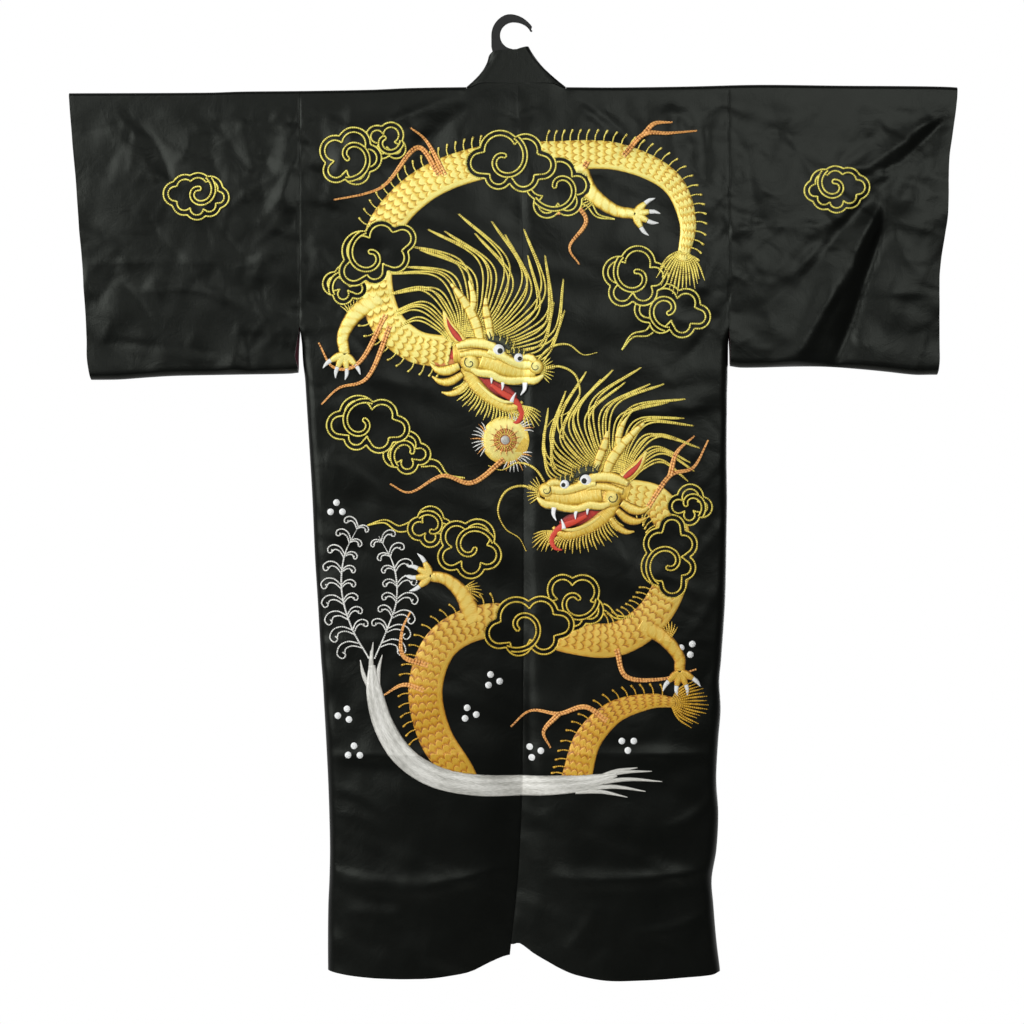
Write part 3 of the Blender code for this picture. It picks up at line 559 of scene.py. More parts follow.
def frontColumnsAt(z, side):
    z = np.asarray(z, float)[:, None]
    shift = robe["neckShift"] * (1 - smooth((-100 - z) / 300))
    return outwardColumns(side * (readTable(robe["frontEdge"], z) + robe["seamGap"]) + shift, z, side)


def liftedRows(z, x, side):
    hem = readTable(robe["hemLeft" if side < 0 else "hemRight"], x)
    return z + (hem - bodyGrid["hemZ"]) * smooth((-1150 - z) / 242)


def settledGrid(columns, z, side, rise=0.0):  # each point's x and z once the rows follow the hem
    z = np.asarray(z, float)
    x = columns(z, side)
    heights = liftedRows(z[:, None], x, side) + np.reshape(rise, (-1, 1))
    for c in range(x.shape[1]):
        x[:, c] = columns(heights[:, c], side)[:, c]
    return x, heights


def makeBody(side, name, finishes):
    near, low, high = len(bodyGrid["nearColumns"]), bodyGrid["hemZ"], bodyGrid["topZ"]
    z = np.linspace(low, high, int((high - low) / bodyGrid["rowStep"]) + 1)
    x, heights = settledGrid(columnsAt, z, side)
    isNear = np.arange(x.shape[1]) < near
    back = np.stack([x, -backDepth(x, heights) * sideClosing(x, heights, side), heights], -1)
    rows = [back]
    topX = columnsAt(np.array([-100.0]), side)[0]
    top = shoulderZ(topX)
    radius = robe["shoulderRadius"]
    fromNeck = np.abs(topX - robe["neckShift"])
    start = np.radians(robe["neckTurn"] * smooth(1 - (fromNeck - robe["neckHalf"]) / 14))
    rise = smooth((robe["neckHalf"] - fromNeck) / 24)
    dip = smooth((fromNeck - 50) / 23)
    neckZ = top + robe["neckRise"] * rise - robe["neckDip"] * dip
    atBack, atCorner = robe["neckDepth"]
    neckY = -(atBack - (atBack - atCorner) * dip)
    firstZ = np.where(isNear, neckZ, top - radius * (1 - np.sin(start)))
    firstY = np.where(isNear, neckY, -radius * np.cos(start))
    lastRow = back[-1]
    for share in bodyGrid["joinShares"]:  # from the last regular row up to the neckline or the fold
        zRow = lastRow[:, 2] + (firstZ - lastRow[:, 2]) * share
        xRow = lastRow[:, 0] + (topX - lastRow[:, 0]) * share
        yRow = -backDepth(xRow, zRow)
        straight = lastRow[:, 1] + (firstY - lastRow[:, 1]) * smooth(share)
        blendIn = smooth((share - 0.2) / 0.8)
        yRow = np.where(isNear, straight, yRow * (1 - blendIn) + straight * blendIn)
        rows.append(np.stack([xRow, yRow, zRow], -1)[None])
    rows.append(np.stack([topX, firstY, firstZ], -1)[None])
    for i in range(1, bodyGrid["wrapRows"] + 1):
        turn = start + (math.pi - start) * i / bodyGrid["wrapRows"]
        rows.append(np.stack([topX, -radius * np.cos(turn), top - radius * (1 - np.sin(turn))], -1)[None])
    t = np.arange(1, bodyGrid["frontRows"] + 1) / bodyGrid["frontRows"]
    z = robe["frontTop"] - robe["frontDrop"] * (0.2 * t * t + 0.8 * t)
    rise = robe["frontLift"] * smooth((-1100 - z) / 280)
    x, heights = settledGrid(frontColumnsAt, z, side, rise)
    front = np.stack([x, frontDepth(x, heights) * sideClosing(x, heights, side), heights], -1)
    rows.append(np.concatenate([np.zeros((len(z), near, 3)), front], 1))
    grid = np.concatenate(rows)
    firstWrap = len(back) + len(bodyGrid["joinShares"])
    exists = np.ones(grid.shape[:2], bool)
    exists[firstWrap + 1:, :near] = False  # past the neckline only the shoulder's columns go on
    shut = shutShare(grid[:, -1, 2])
    isFront = np.arange(len(grid)) > len(grid) - len(z) - 1
    halfGap = np.where(isFront, robe["seamGap"] / 2, -robe["seamGap"] / 2)
    grid[:, -1, 1] = grid[:, -1, 1] * (1 - shut) + halfGap * shut

    def seamNormals(normals):
        normals[:, 0, 0] = 0
        normals[:, -1] = normals[:, -1] * (1 - shut[:, None]) + np.array([side, 0, 0]) * shut[:, None]
        return unit(normals)

    made = wallFromGrid(name, grid, robe["cloth"], finishes, side > 0, seamNormals, exists=exists)
    return made, np.concatenate([grid[firstWrap, :near], grid[firstWrap:, near]])


sleeveGrid = {
    "columns": 70, "layerRows": 92, "foldTurns": 10, "footTurns": 7,
    "nearSeam": [0, 0.8, 1.8, 3.0, 4.6, 7.0], "span": 320,  # first columns, in mm of the sleeve's length
}


def sleeveLoops(shares, side):
    shares = np.asarray(shares, float)[None, :]
    cuff = robe["cuffLeft" if side < 0 else "cuffRight"]
    foot = robe["sleeveHemLeft" if side < 0 else "sleeveHemRight"]
    radius, footRadius = robe["shoulderRadius"], robe["sleeveRound"]

    def place(z, layer):
        free = smooth((robe["armholeEnd"] - z) / 50)
        aside = 2.0 + (robe["slitShows"] * smooth((z + 508) / 20) if side < 0 and layer < 0 else 0.0)
        inner = sideX(robe["armholeEnd"], side) + side * (robe["seamGap"] / 2 + aside * free)
        return inner + (readTable(cuff, z) - inner) * shares

    middle = place(np.full(shares.shape, -300.0), 1)
    top, low = shoulderZ(middle), readTable(foot, middle)
    turns = np.radians(np.linspace(0, 90, sleeveGrid["foldTurns"]))[:, None]
    steps = np.linspace(0, 1, sleeveGrid["layerRows"] + 2)[1:-1, None]
    footTurns = np.radians(np.linspace(8, 90, sleeveGrid["footTurns"]))[:, None]
    foldZ = top - radius * (1 - np.cos(turns))
    layerZ = top - radius + (low + footRadius - top + radius) * steps
    footZ = low + footRadius * (1 - np.sin(footTurns))
    downZ = np.vstack([foldZ, layerZ, footZ])
    foldRows = len(foldZ)
    sides = []
    for layer in (-1, 1):
        x = place(downZ, layer)
        depth = backDepth(x, downZ) if layer < 0 else frontDepth(x, downZ)
        near = np.clip((downZ - low) / footRadius, 0, 1)
        y = layer * depth * np.sqrt(np.maximum(0.0, 1 - (1 - near) ** 2))
        y[:foldRows] = layer * radius * np.sin(turns)
        sides.append(np.stack([x, y, downZ], -1))
    back, front = sides
    return np.concatenate([back, front[::-1][1:-1]])


def seamPlaneNormals(normals):
    normals[:, 0, 0] = 0
    return unit(normals)


def makeSleeve(side, name, finishes):
    near = np.array(sleeveGrid["nearSeam"]) / sleeveGrid["span"]
    grid = sleeveLoops(np.concatenate([near, np.linspace(0.034, 1, sleeveGrid["columns"])]), side)
    return wallFromGrid(name, grid, robe["cloth"], finishes, side < 0, seamPlaneNormals, closedRows=True)


def makeSlitLining(side, name, finishes):  # the strip of lining in the slit below the armhole
    grid = sleeveLoops(np.linspace(0, 1 / 15, 5), side)
    quads = gridQuads(grid, side < 0, closedRows=True)
    inside = grid - seamPlaneNormals(pointNormals(grid, quads)) * (robe["cloth"] + robe["seamGap"])
    footRow = sleeveGrid["foldTurns"] + sleeveGrid["layerRows"] + sleeveGrid["footTurns"] - 1
    kept = inside[footRow - 22:footRow + 23]
    return wallFromGrid(name, kept, robe["lining"], finishes, side < 0, seamPlaneNormals)


collarGrid = {"columns": 10, "bow": 6, "arch": 1.2, "ripple": 0.5}


def makeCollar(side, name, finishes, edge):
    near, wrap = len(bodyGrid["nearColumns"]), bodyGrid["wrapRows"]
    nearShares = np.interp(bodyGrid["nearColumns"], [0, 4, 10, 22, 44, 64], range(6)) / 11
    wrapShares = (5 + 6 * np.arange(wrap + 1) / wrap) / 11
    count = len(edge)
    t = np.concatenate([nearShares, wrapShares, np.full(count - near - wrap - 1, 2.0)])
    rows = [(row[0] * 1000, *row[1:]) for row in robe["collarTop"][side]]
    neck = np.stack([readTable(rows, np.clip(t, 0, 1) * 1000, k) for k in (1, 2, 3)], -1)
    drop = np.maximum(0.0, edge[near + wrap, 2] - edge[:, 2])
    blend, slide = smooth(drop / 110), smooth(drop / 160)
    foot = robe["footSlant"] * smooth((-1200 - edge[:, 2]) / 170)
    lowZ = edge[:, 2] + robe["bandWidth"] * (1 - slide) + foot
    low = np.stack([edge[:, 0] - side * robe["bandWidth"], edge[:, 1], lowZ], -1)
    down = neck[-1][None] + (low - neck[-1][None]) * blend[:, None]
    onFront = (t > 1)[:, None]
    free = np.where(onFront, down, neck)
    bow = -side * collarGrid["bow"] * np.where(t > 1, 1 - blend, smooth((t - 0.3) / 0.4))
    start = edge.copy()
    index = t * 11
    index[t > 1] = 11 + np.arange(1, count - near - wrap) * 0.16
    corner = np.exp(-(((index - 5) / 1.6) ** 2))
    isNear = np.arange(count) < near
    start[:, 0] -= np.where(isNear, 0, side * (robe["seamGap"] + 0.5 * corner))
    start[:, 2] += (robe["seamGap"] + 0.8 * corner) * np.where(isNear, 1, 1 - smooth((index - 5) / 8))
    f = np.linspace(0, 1, collarGrid["columns"])[None, :, None]
    grid = start[:, None] + (free - start)[:, None] * f
    arch = 4 * f[..., 0] * (1 - f[..., 0])
    grid[..., 0] += bow[:, None] * arch
    outward = np.where(grid[..., 1] < 0, -1, 1)
    grid[..., 1] += outward * collarGrid["arch"] * arch * smooth((t[:, None] - 0.9) / 0.5)
    grid[..., 1] += collarGrid["ripple"] * np.sin(np.arange(count) * 0.23)[:, None] * arch * onFront
    grid[0, :, 0] = seamX(-90.0) + side * robe["sewnGap"] / 2

    def seamNormals(normals):
        normals[0, :, 0] = 0
        return unit(normals)

    return wallFromGrid(name, grid, robe["band"], finishes, side < 0, seamNormals)


# Finishes
def makeSatin():
    # Polyester satin: smooth warp floats run down the cloth, so it is near black with a soft grey sheen.
    finish, tree, shader = newFinish("black polyester satin", "#050605", 0.38, Specular_IOR_Level=0.21)
    shader.inputs["Specular Tint"].default_value = linearColour("#f2faee")
    place = addNode(tree, "ShaderNodeTexCoord").outputs["Object"]
    floatsAt = (700, 700, 60)  # in each metre: the floats lie 1.4 mm apart
    warp = addNode(tree, "ShaderNodeMapping", {"Vector": place, "Scale": floatsAt})
    floats = addNode(tree, "ShaderNodeTexNoise", {"Vector": warp.outputs[0], "Scale": 1.0, "Detail": 3.0})
    cloud = addNode(tree, "ShaderNodeTexNoise", {"Vector": place, "Scale": 9.0, "Detail": 4.0})
    tone = addNode(tree, "ShaderNodeValToRGB", {"Fac": cloud.outputs["Fac"]})
    setRamp(tone, [(0.3, "#040504"), (0.7, "#070807")])
    tree.links.new(tone.outputs["Color"], shader.inputs["Base Color"])
    rough = addNode(tree, "ShaderNodeMapRange", {
        "Value": cloud.outputs["Fac"], "To Min": 0.33, "To Max": 0.40})
    tree.links.new(rough.outputs["Result"], shader.inputs["Roughness"])
    crinkle = addNode(tree, "ShaderNodeTexNoise", {
        "Vector": place, "Scale": 26.0, "Detail": 4.0, "Roughness": 0.62, "Distortion": 1.6})
    crushed = addNode(tree, "ShaderNodeBump", {
        "Height": crinkle.outputs["Fac"], "Strength": 0.3, "Distance": 0.0016})
    bump = addNode(tree, "ShaderNodeBump", {
        "Height": floats.outputs["Fac"], "Strength": 0.14, "Distance": 0.0006,
        "Normal": crushed.outputs["Normal"]})
    tree.links.new(bump.outputs["Normal"], shader.inputs["Normal"])
    return finish


def makeLining():
    # Plain-woven crimson lining: a dull cloth whose even grid of threads shows close up.
    finish, tree, shader = newFinish("crimson plain-weave lining", "#5c1a2b", 0.6, Sheen_Weight=0.2)
    place = addNode(tree, "ShaderNodeTexCoord").outputs["Object"]
    across, down = (addNode(tree, "ShaderNodeTexWave", {"Vector": place, "Scale": 250.0, "Distortion": 0.4},
                            bands_direction=axis) for axis in "XZ")
    weave = addNode(tree, "ShaderNodeMath", {0: across.outputs["Fac"], 1: down.outputs["Fac"]},
                    operation="MULTIPLY")
    tone = addNode(tree, "ShaderNodeValToRGB", {"Fac": weave.outputs[0]})
    setRamp(tone, [(0.0, "#4a1222"), (1.0, "#702236")])
    tree.links.new(tone.outputs["Color"], shader.inputs["Base Color"])
    bump = addNode(tree, "ShaderNodeBump", {"Height": weave.outputs[0], "Strength": 0.3, "Distance": 0.0003})
    tree.links.new(bump.outputs["Normal"], shader.inputs["Normal"])
    return finish


def tintBelow(tree, colour, tint):  # the gold is tinted darker and more orange towards the hem
    place = addNode(tree, "ShaderNodeTexCoord").outputs["Object"]
    height = addNode(tree, "ShaderNodeSeparateXYZ", {"Vector": place}).outputs["Z"]
    share = addNode(tree, "ShaderNodeMapRange", {
        "Value": height, "From Min": -0.98, "From Max": -0.56, "To Min": 1.0, "To Max": 0.0})
    mixed = addNode(tree, "ShaderNodeMix", {0: share.outputs["Result"], 6: colour, 7: linearColour(tint)},
                    data_type="RGBA", blend_type="MULTIPLY")
    return mixed.outputs[2]


def makeStitchFill(name, stops, roughness, pitch, metallic=0.0, lengthwise=False, tint=None):
    # Satin stitch in rayon thread: threads lie side by side across the shape, with a silky gloss.
    finish, tree, shader = newFinish(name, stops[-1][1], roughness, Metallic=metallic, Sheen_Weight=0.15)
    uv = addNode(tree, "ShaderNodeUVMap", uv_map="threadMap").outputs["UV"]
    spread = (1 / pitch, 0.12, 1) if lengthwise else (0.12, 1 / pitch, 1)
    lanes = addNode(tree, "ShaderNodeMapping", {"Vector": uv, "Scale": spread})
    thread = addNode(tree, "ShaderNodeTexNoise", {"Vector": lanes.outputs[0], "Scale": 1.0, "Detail": 2.0})
    # the shade attribute carries each shape's own tone together with its painted highlights and painted shade
    tone = addNode(tree, "ShaderNodeAttribute", attribute_name="shade").outputs["Fac"]
    mixed = addNode(tree, "ShaderNodeMath", {0: thread.outputs["Fac"], 1: 0.7, 2: tone},
                    operation="MULTIPLY_ADD")
    shifted = addNode(tree, "ShaderNodeMath", {0: mixed.outputs[0], 1: 0.35}, operation="SUBTRACT")
    ramp = addNode(tree, "ShaderNodeValToRGB", {"Fac": shifted.outputs[0]})
    setRamp(ramp, stops)
    colour = tintBelow(tree, ramp.outputs["Color"], tint) if tint else ramp.outputs["Color"]
    tree.links.new(colour, shader.inputs["Base Color"])
    bump = addNode(tree, "ShaderNodeBump", {
        "Height": thread.outputs["Fac"], "Strength": 0.7, "Distance": 0.0008})
    tree.links.new(bump.outputs["Normal"], shader.inputs["Normal"])
    return finish


def makeCordFinish(name, dark, light, roughness, pitch, metallic=0.0, tint=None):
    # Twisted cord couched down: the dark band at every turn of the twist is painted shade in its groove.
    finish, tree, shader = newFinish(name, light, roughness, Metallic=metallic)
    along = addNode(tree, "ShaderNodeAttribute", attribute_name="along").outputs["Fac"]
    turns = addNode(tree, "ShaderNodeMath", {0: along, 1: 2 * math.pi / (pitch * mm)}, operation="MULTIPLY")
    wave = addNode(tree, "ShaderNodeMath", {0: turns.outputs[0]}, operation="SINE")
    place = addNode(tree, "ShaderNodeTexCoord").outputs["Object"]
    wear = addNode(tree, "ShaderNodeTexNoise", {"Vector": place, "Scale": 160.0, "Detail": 2.0})
    level = addNode(tree, "ShaderNodeMath", {0: wave.outputs[0], 1: 0.22, 2: wear.outputs["Fac"]},
                    operation="MULTIPLY_ADD")
    ramp = addNode(tree, "ShaderNodeValToRGB", {"Fac": level.outputs[0]})
    # from the painted shade colour, dark, to the cord's own colour, light
    setRamp(ramp, [(0.16, dark), (0.5, light)])
    colour = tintBelow(tree, ramp.outputs["Color"], tint) if tint else ramp.outputs["Color"]
    tree.links.new(colour, shader.inputs["Base Color"])
    bump = addNode(tree, "ShaderNodeBump", {"Height": wave.outputs[0], "Strength": 0.4, "Distance": 0.0004})
    tree.links.new(bump.outputs["Normal"], shader.inputs["Normal"])
    return finish


def makeHangerPlastic():
    # Moulded polystyrene: black, slightly glossy, with a faint grain from the mould.
    finish, tree, shader = newFinish("black moulded polystyrene", "#0a0b0b", 0.38, Specular_IOR_Level=0.3)
    place = addNode(tree, "ShaderNodeTexCoord").outputs["Object"]
    grain = addNode(tree, "ShaderNodeTexNoise", {"Vector": place, "Scale": 420.0, "Detail": 3.0})
    rough = addNode(tree, "ShaderNodeMapRange", {
        "Value": grain.outputs["Fac"], "To Min": 0.32, "To Max": 0.46})
    tree.links.new(rough.outputs["Result"], shader.inputs["Roughness"])
    bump = addNode(tree, "ShaderNodeBump", {
        "Height": grain.outputs["Fac"], "Strength": 0.08, "Distance": 0.0003})
    tree.links.new(bump.outputs["Normal"], shader.inputs["Normal"])
    return finish


satin, lining, plastic = makeSatin(), makeLining(), makeHangerPlastic()
finishes = {
    "goldScale": makeStitchFill("gold rayon satin stitch, scales", [
        (0.0, "#6a480c"), (0.28, "#c4952a"), (0.56, "#f2cf52"), (0.84, "#fff38c")],
        0.38, 1.2, 0.15, True, "#d8b266"),
    "goldFill": makeStitchFill("gold rayon satin stitch", [
        (0.0, "#6a490e"), (0.3, "#c59a2c"), (0.58, "#f4d456"), (0.86, "#fff596")],
        0.32, 1.2, 0.15, False, "#e0bd74"),
    "silverFill": makeStitchFill("silver-white satin stitch", [
        (0.0, "#5f5e59"), (0.35, "#96958e"), (0.65, "#c4c3bb"), (0.95, "#e8e7e0")], 0.34, 1.6, 0.1, True),
    "redFill": makeStitchFill("scarlet satin stitch", [
        (0.0, "#5e0f0c"), (0.4, "#a82016"), (0.9, "#d8432a")], 0.45, 1.0),
    "darkFill": makeStitchFill("green-black satin stitch", [
        (0.0, "#0c0f08"), (0.5, "#20261a"), (0.95, "#565a34")], 0.55, 1.4),
    "whiteFill": makeStitchFill("white satin stitch", [
        (0.0, "#a9adab"), (0.5, "#e3e6e4"), (0.95, "#ffffff")], 0.45, 1.0),
    "rustFill": makeStitchFill("rust satin stitch", [
        (0.0, "#6d2f10"), (0.4, "#a9551f"), (0.95, "#d88a44")], 0.45, 1.0),
    "goldCord": makeCordFinish("couched gold cord", "#80651a", "#f8e670", 0.34, 3.0, 0.15, "#e4c07c"),
    "cloudCord": makeCordFinish(
        "couched greenish gold cord", "#857422", "#f8ec74", 0.34, 3.0, 0.15, "#ecd08c"),
    "copperBraid": makeCordFinish("copper braid", "#8e4c1a", "#f0b064", 0.38, 4.4, 0.15),
    "silverCord": makeCordFinish("couched silver cord", "#7f807c", "#f0f0ea", 0.36, 3.0, 0.1),
    "browCord": makeCordFinish("green-black tuft thread", "#0b0e08", "#3a4026", 0.5, 2.0),
}
print("finishes made")


# Fine cloth in place of the plain solids
cloth = {}
for side, word in ((-1, "left"), (1, "right")):
    cloth["body_" + word], neckEdge = makeBody(side, "satin_body_" + word, [satin, lining])
    cloth["collar_" + word] = makeCollar(side, "satin_collar_" + word, [satin, satin], neckEdge)
    cloth["sleeve_" + word] = makeSleeve(side, "satin_sleeve_" + word, [satin, lining])
    cloth["sleeve_lining_" + word] = makeSlitLining(side, "slit_lining_" + word, [lining, lining])
print("cloth made:", {name: len(o.data.polygons) for name, o in cloth.items()})

for node in ("hanger_hook", "hanger_arm_left", "hanger_arm_right"):
    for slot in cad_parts[node].material_slots:
        slot.material = plastic


# Drawing on the cloth: everything is laid out in millimetres and pressed onto the back's surface.
def onCloth(points, lift):
    points = np.asarray(points, float)
    depth = backDepth(points[..., 0], points[..., 1]) + lift
    return np.stack([points[..., 0], -depth, points[..., 1]], -1)


def smoothPath(points, step=2.5):  # a Catmull-Rom curve through the points, in even steps
    points = np.array(points, float)
    extended = np.vstack([2 * points[0] - points[1], points, 2 * points[-1] - points[-2]])
    dense = []
    for i in range(1, len(extended) - 2):
        a, b, c, d = extended[i - 1:i + 3]
        t = np.linspace(0, 1, 24, endpoint=False)[:, None]
        square, cube = 2 * a - 5 * b + 4 * c - d, 3 * b - a - 3 * c + d
        dense.append(0.5 * (2 * b + (c - a) * t + square * t**2 + cube * t**3))
    dense = np.vstack(dense + [points[-1:]])
    length = np.concatenate([[0], np.cumsum(np.linalg.norm(np.diff(dense, axis=0), axis=1))])
    count = max(2, int(round(length[-1] / step)) + 1)
    even = np.linspace(0, length[-1], count)
    return np.stack([np.interp(even, length, dense[:, k]) for k in range(dense.shape[1])], -1)


def sideways(path):
    along = unit(np.gradient(path[:, :2], axis=0))
    return np.stack([-along[:, 1], along[:, 0]], -1)


threads = {}  # finish name: lines to be couched down, each with its points, radius and lift
fills = {}  # finish name: stitched shapes, each with points, faces, map and shade


def drawThread(finish, points, radius=1.2, lift=0.6, taper=(0.0, 0.0)):
    points = np.asarray(points, float)
    share = np.linspace(0, 1, len(points))
    size = np.full(len(points), radius, float)
    for fromEnd, reach in zip((share, 1 - share), taper):
        if reach:
            size *= 0.35 + 0.65 * smooth(fromEnd / reach)
    threads.setdefault(finish, []).append((points, size, lift))


def drawStrip(finish, path, half, lift=0.3, crown=1.6, columns=9, shade=None, heights=None, edgeShade=0.5,
              dips=False):
    # A padded strip along a path: its top is crowned, and shade runs from dark, 0, to light, 1.
    # One that dips goes below the satin wherever a cloud or the wave lies in front of it.
    path, half = np.asarray(path, float), np.asarray(half, float)
    across = np.linspace(-1, 1, columns)
    out = sideways(path)
    flat = path[:, None, :2] + out[:, None] * (half[:, None] * across[None])[..., None]
    length = np.concatenate([[0], np.cumsum(np.linalg.norm(np.diff(path[:, :2], axis=0), axis=1))])
    u, v = np.broadcast_arrays(across[None], length[:, None])
    top = lift + crown * np.sqrt(np.maximum(0.0, 1 - u**2)) * np.minimum(1, half[:, None] / 5)
    if heights is not None:
        top = top + heights(u, v, half[:, None])
    tone = np.full(u.shape, 0.62) if shade is None else shade(u, v, half[:, None])
    # painted shade: the tone darkens towards both edges of the strip, where its padding turns away
    tone = tone - edgeShade * np.abs(u) ** 4
    if dips:
        top = np.where(behindAny(flat, fronts), -0.9, top)
    points = onCloth(flat, top)
    rows = len(path)
    low = across[::max(1, (columns - 1) // 6)]
    low = low if low[-1] == 1 else np.append(low, 1.0)
    lowFlat = path[:, None, :2] + out[:, None] * (half[:, None] * low[None])[..., None]
    index = np.arange(rows * columns).reshape(rows, columns)
    base = rows * columns + np.arange(rows * len(low)).reshape(rows, len(low))
    walls = [
        [index[1:, :-1], index[1:, 1:], index[:-1, 1:], index[:-1, :-1]],  # top
        [base[:-1, 1:], base[1:, 1:], base[1:, :-1], base[:-1, :-1]],  # underside
        [base[:-1, 0], base[1:, 0], index[1:, 0], index[:-1, 0]],
        [base[1:, -1], base[:-1, -1], index[:-1, -1], index[1:, -1]],
    ]
    faces = [face for wall in walls for face in np.stack(wall, -1).reshape(-1, 4).tolist()]
    faces += [list(index[0]) + list(base[0][::-1]), list(base[-1]) + list(index[-1][::-1])]
    points = np.vstack([points.reshape(-1, 3), onCloth(lowFlat, -1.2).reshape(-1, 3)])
    u, v = np.append(u, np.tile(low, rows)), np.append(v, np.repeat(length, len(low)))
    wide = np.append(np.repeat(half, columns), np.repeat(half, len(low)))
    tone = np.append(tone, np.full(rows * len(low), 0.1))
    uv = np.stack([u * wide, v], -1)
    fills.setdefault(finish, []).append((points, faces, uv, tone.ravel()))


discSectors = 28  # no other face of the embroidery has as many corners as a disc's underside


def drawDisc(finish, centre, radius, lift=0.3, crown=1.4, shade=None, rings=6):
    # A round filled shape, stitched outwards from its middle.
    u, a = np.meshgrid(np.linspace(0, 1, rings + 1)[1:],
                       np.linspace(0, 2 * math.pi, discSectors, endpoint=False), indexing="ij")
    reach, around = np.append(0.0, u), np.append(0.0, a)
    flat = np.stack([reach * radius * np.cos(around), reach * radius * np.sin(around)], -1)
    points = onCloth(flat + np.asarray(centre, float), lift + crown * np.sqrt(np.maximum(0.0, 1 - reach**2)))
    faces = []
    for j in range(discSectors):
        k = (j + 1) % discSectors
        faces.append([1 + j, 1 + k, 0])
        for first in range(1, 1 + (rings - 1) * discSectors, discSectors):
            outside = first + discSectors
            faces.append([outside + j, outside + k, first + k, first + j])
    faces.append([1 + (rings - 1) * discSectors + j for j in reversed(range(discSectors))])
    tone = np.full(len(points), 0.65) if shade is None else shade(reach, around)
    fills.setdefault(finish, []).append((points, faces, np.stack([reach, around], -1) * radius, tone))


# Clouds: scalloped outlines in two parallel cords, with a band of two cords that curls inside.
# Each cloud is x, z, size, turn, shape, angle near which its curl starts, way it curls, tail's angle.
# In a group, the first cloud lies in front.
cloudShapes = {  # lobes as x, z, radius, then the curl's middle, its turns and how fast it closes
    "broad": [[(-33, -5, 17), (-13, 11, 23), (15, 14, 19), (35, 0, 16), (16, -15, 17), (-12, -17, 15)],
              (-8, 1), 0.95, 1.25],
    "round": [[(-17, 12, 20), (9, 17, 22), (25, -4, 18), (7, -19, 18), (-19, -14, 17)], (3, 2), 0.9, 1.3],
    "sleeve": [[(-31, 0, 18), (-17, 10, 19.5), (2, 13, 20), (20, 10, 19), (33, -2, 16), (20, -14, 17),
                (2, -20, 17), (-17, -13, 18)], (3, 3), 0.95, 1.55],
    "small": [[(-15, 2, 17), (4, 12, 19), (18, -5, 15), (-2, -13, 15)], (2, 1), 0.62, 1.0],
}
cloudGroups = [
    [(-240, -200, 1.1, 8, "round", 250, 1, None), (-186, -176, 0.95, -20, "small", 10, -1, None)],
    [(-4, -206, 1.3, -6, "broad", 65, -1, None), (64, -246, 1.15, 20, "round", 190, 1, -35)],
    [(176, -376, 1.15, 14, "round", 110, 1, None), (232, -424, 1.1, -12, "broad", 300, -1, -150)],
    [(-200, -340, 1.25, 30, "broad", 80, 1, None), (-246, -386, 1.0, 0, "small", 210, -1, None)],
    [(-212, -590, 1.2, -8, "broad", 60, 1, None), (-156, -632, 1.05, 14, "small", 200, -1, -30)],
    [(228, -782, 1.2, 86, "broad", 160, -1, None), (256, -708, 1.0, 10, "small", 330, 1, None)],
    [(-66, -770, 1.15, -10, "round", 20, 1, None), (-122, -740, 1.0, 12, "small", 150, -1, 170)],
    [(22, -884, 1.3, 4, "broad", 240, 1, None), (86, -848, 1.1, -16, "round", 40, -1, -20)],
]
sleeveClouds = [
    (-462.5, -254.5, 0.98, -3, "sleeve", 78, -1, None), (472, -244.5, -0.98, 3, "sleeve", 78, -1, None),
]
cloudCord = {"radius": 1.35, "gap": 7.0, "lift": 0.6, "outlinePoints": 190}


def rotated(points, turn, scale=1.0):
    c, s = math.cos(math.radians(turn)), math.sin(math.radians(turn))
    points = np.asarray(points, float) * [scale, abs(scale)]
    return np.stack([points[..., 0] * c - points[..., 1] * s, points[..., 0] * s + points[..., 1] * c], -1)


def cloudOutline(cloud, inset=0.0):
    x, z, size, turn, shape = cloud[:5]
    angle = np.linspace(0, 2 * math.pi, cloudCord["outlinePoints"])
    ray = np.stack([np.cos(angle), np.sin(angle)], -1)
    inset = inset / abs(size)
    reach = np.zeros(len(angle))
    for shrink in (0.0, inset):  # an inner line's cusps reach in no further than twice its inset
        reach = reach - 1.9 * shrink
        for lobeX, lobeZ, radius in cloudShapes[shape][0]:
            centre = np.array([lobeX, lobeZ])
            along = ray @ centre
            root = (radius - shrink) ** 2 - (centre @ centre - along**2)
            reach = np.maximum(reach, np.where(root > 0, along + np.sqrt(np.maximum(0, root)), 0))
    ends = np.concatenate([reach[-2:-1], reach, reach[1:2]])
    reach = 0.25 * ends[:-2] + 0.5 * ends[1:-1] + 0.25 * ends[2:]  # the cord rounds the cusps off
    return rotated(ray * reach[:, None], turn, size) + [x, z]


def insideOf(loop, points):
    points = np.asarray(points, float)
    flat = points.reshape(-1, 2)
    low, high = loop.min(0), loop.max(0)
    near = np.where(((flat > low) & (flat < high)).all(1))[0]
    a, b = loop[:-1, None], loop[1:, None]
    px, pz = flat[near, 0][None], flat[near, 1][None]
    crosses = (a[..., 1] > pz) != (b[..., 1] > pz)
    rise = np.where(crosses, b[..., 1] - a[..., 1], 1.0)
    hits = crosses & (px < (b[..., 0] - a[..., 0]) * (pz - a[..., 1]) / rise + a[..., 0])
    found = np.zeros(len(flat), bool)
    found[near] = hits.sum(0) % 2 == 1
    return found.reshape(points.shape[:-1])


waveBand = smoothPath([  # x, z, half width: the wave's crest, which also hides what it crosses
    (150, -1098, 3), (110, -1109, 11), (60, -1114, 14), (0, -1116, 15), (-60, -1113, 15.5), (-116, -1100, 16),
    (-160, -1071, 16), (-188, -1028, 15), (-202, -980, 12), (-206, -940, 5)], 1.9)
waveSides = sideways(waveBand) * (waveBand[:, 2:] - 1)
waveFront = np.vstack([
    waveBand[:, :2] + waveSides, (waveBand[:, :2] - waveSides)[::-1], waveBand[:1, :2] + waveSides[:1]])
fronts = [cloudOutline(cloud, 0.8) for group in cloudGroups for cloud in group] + [waveFront]


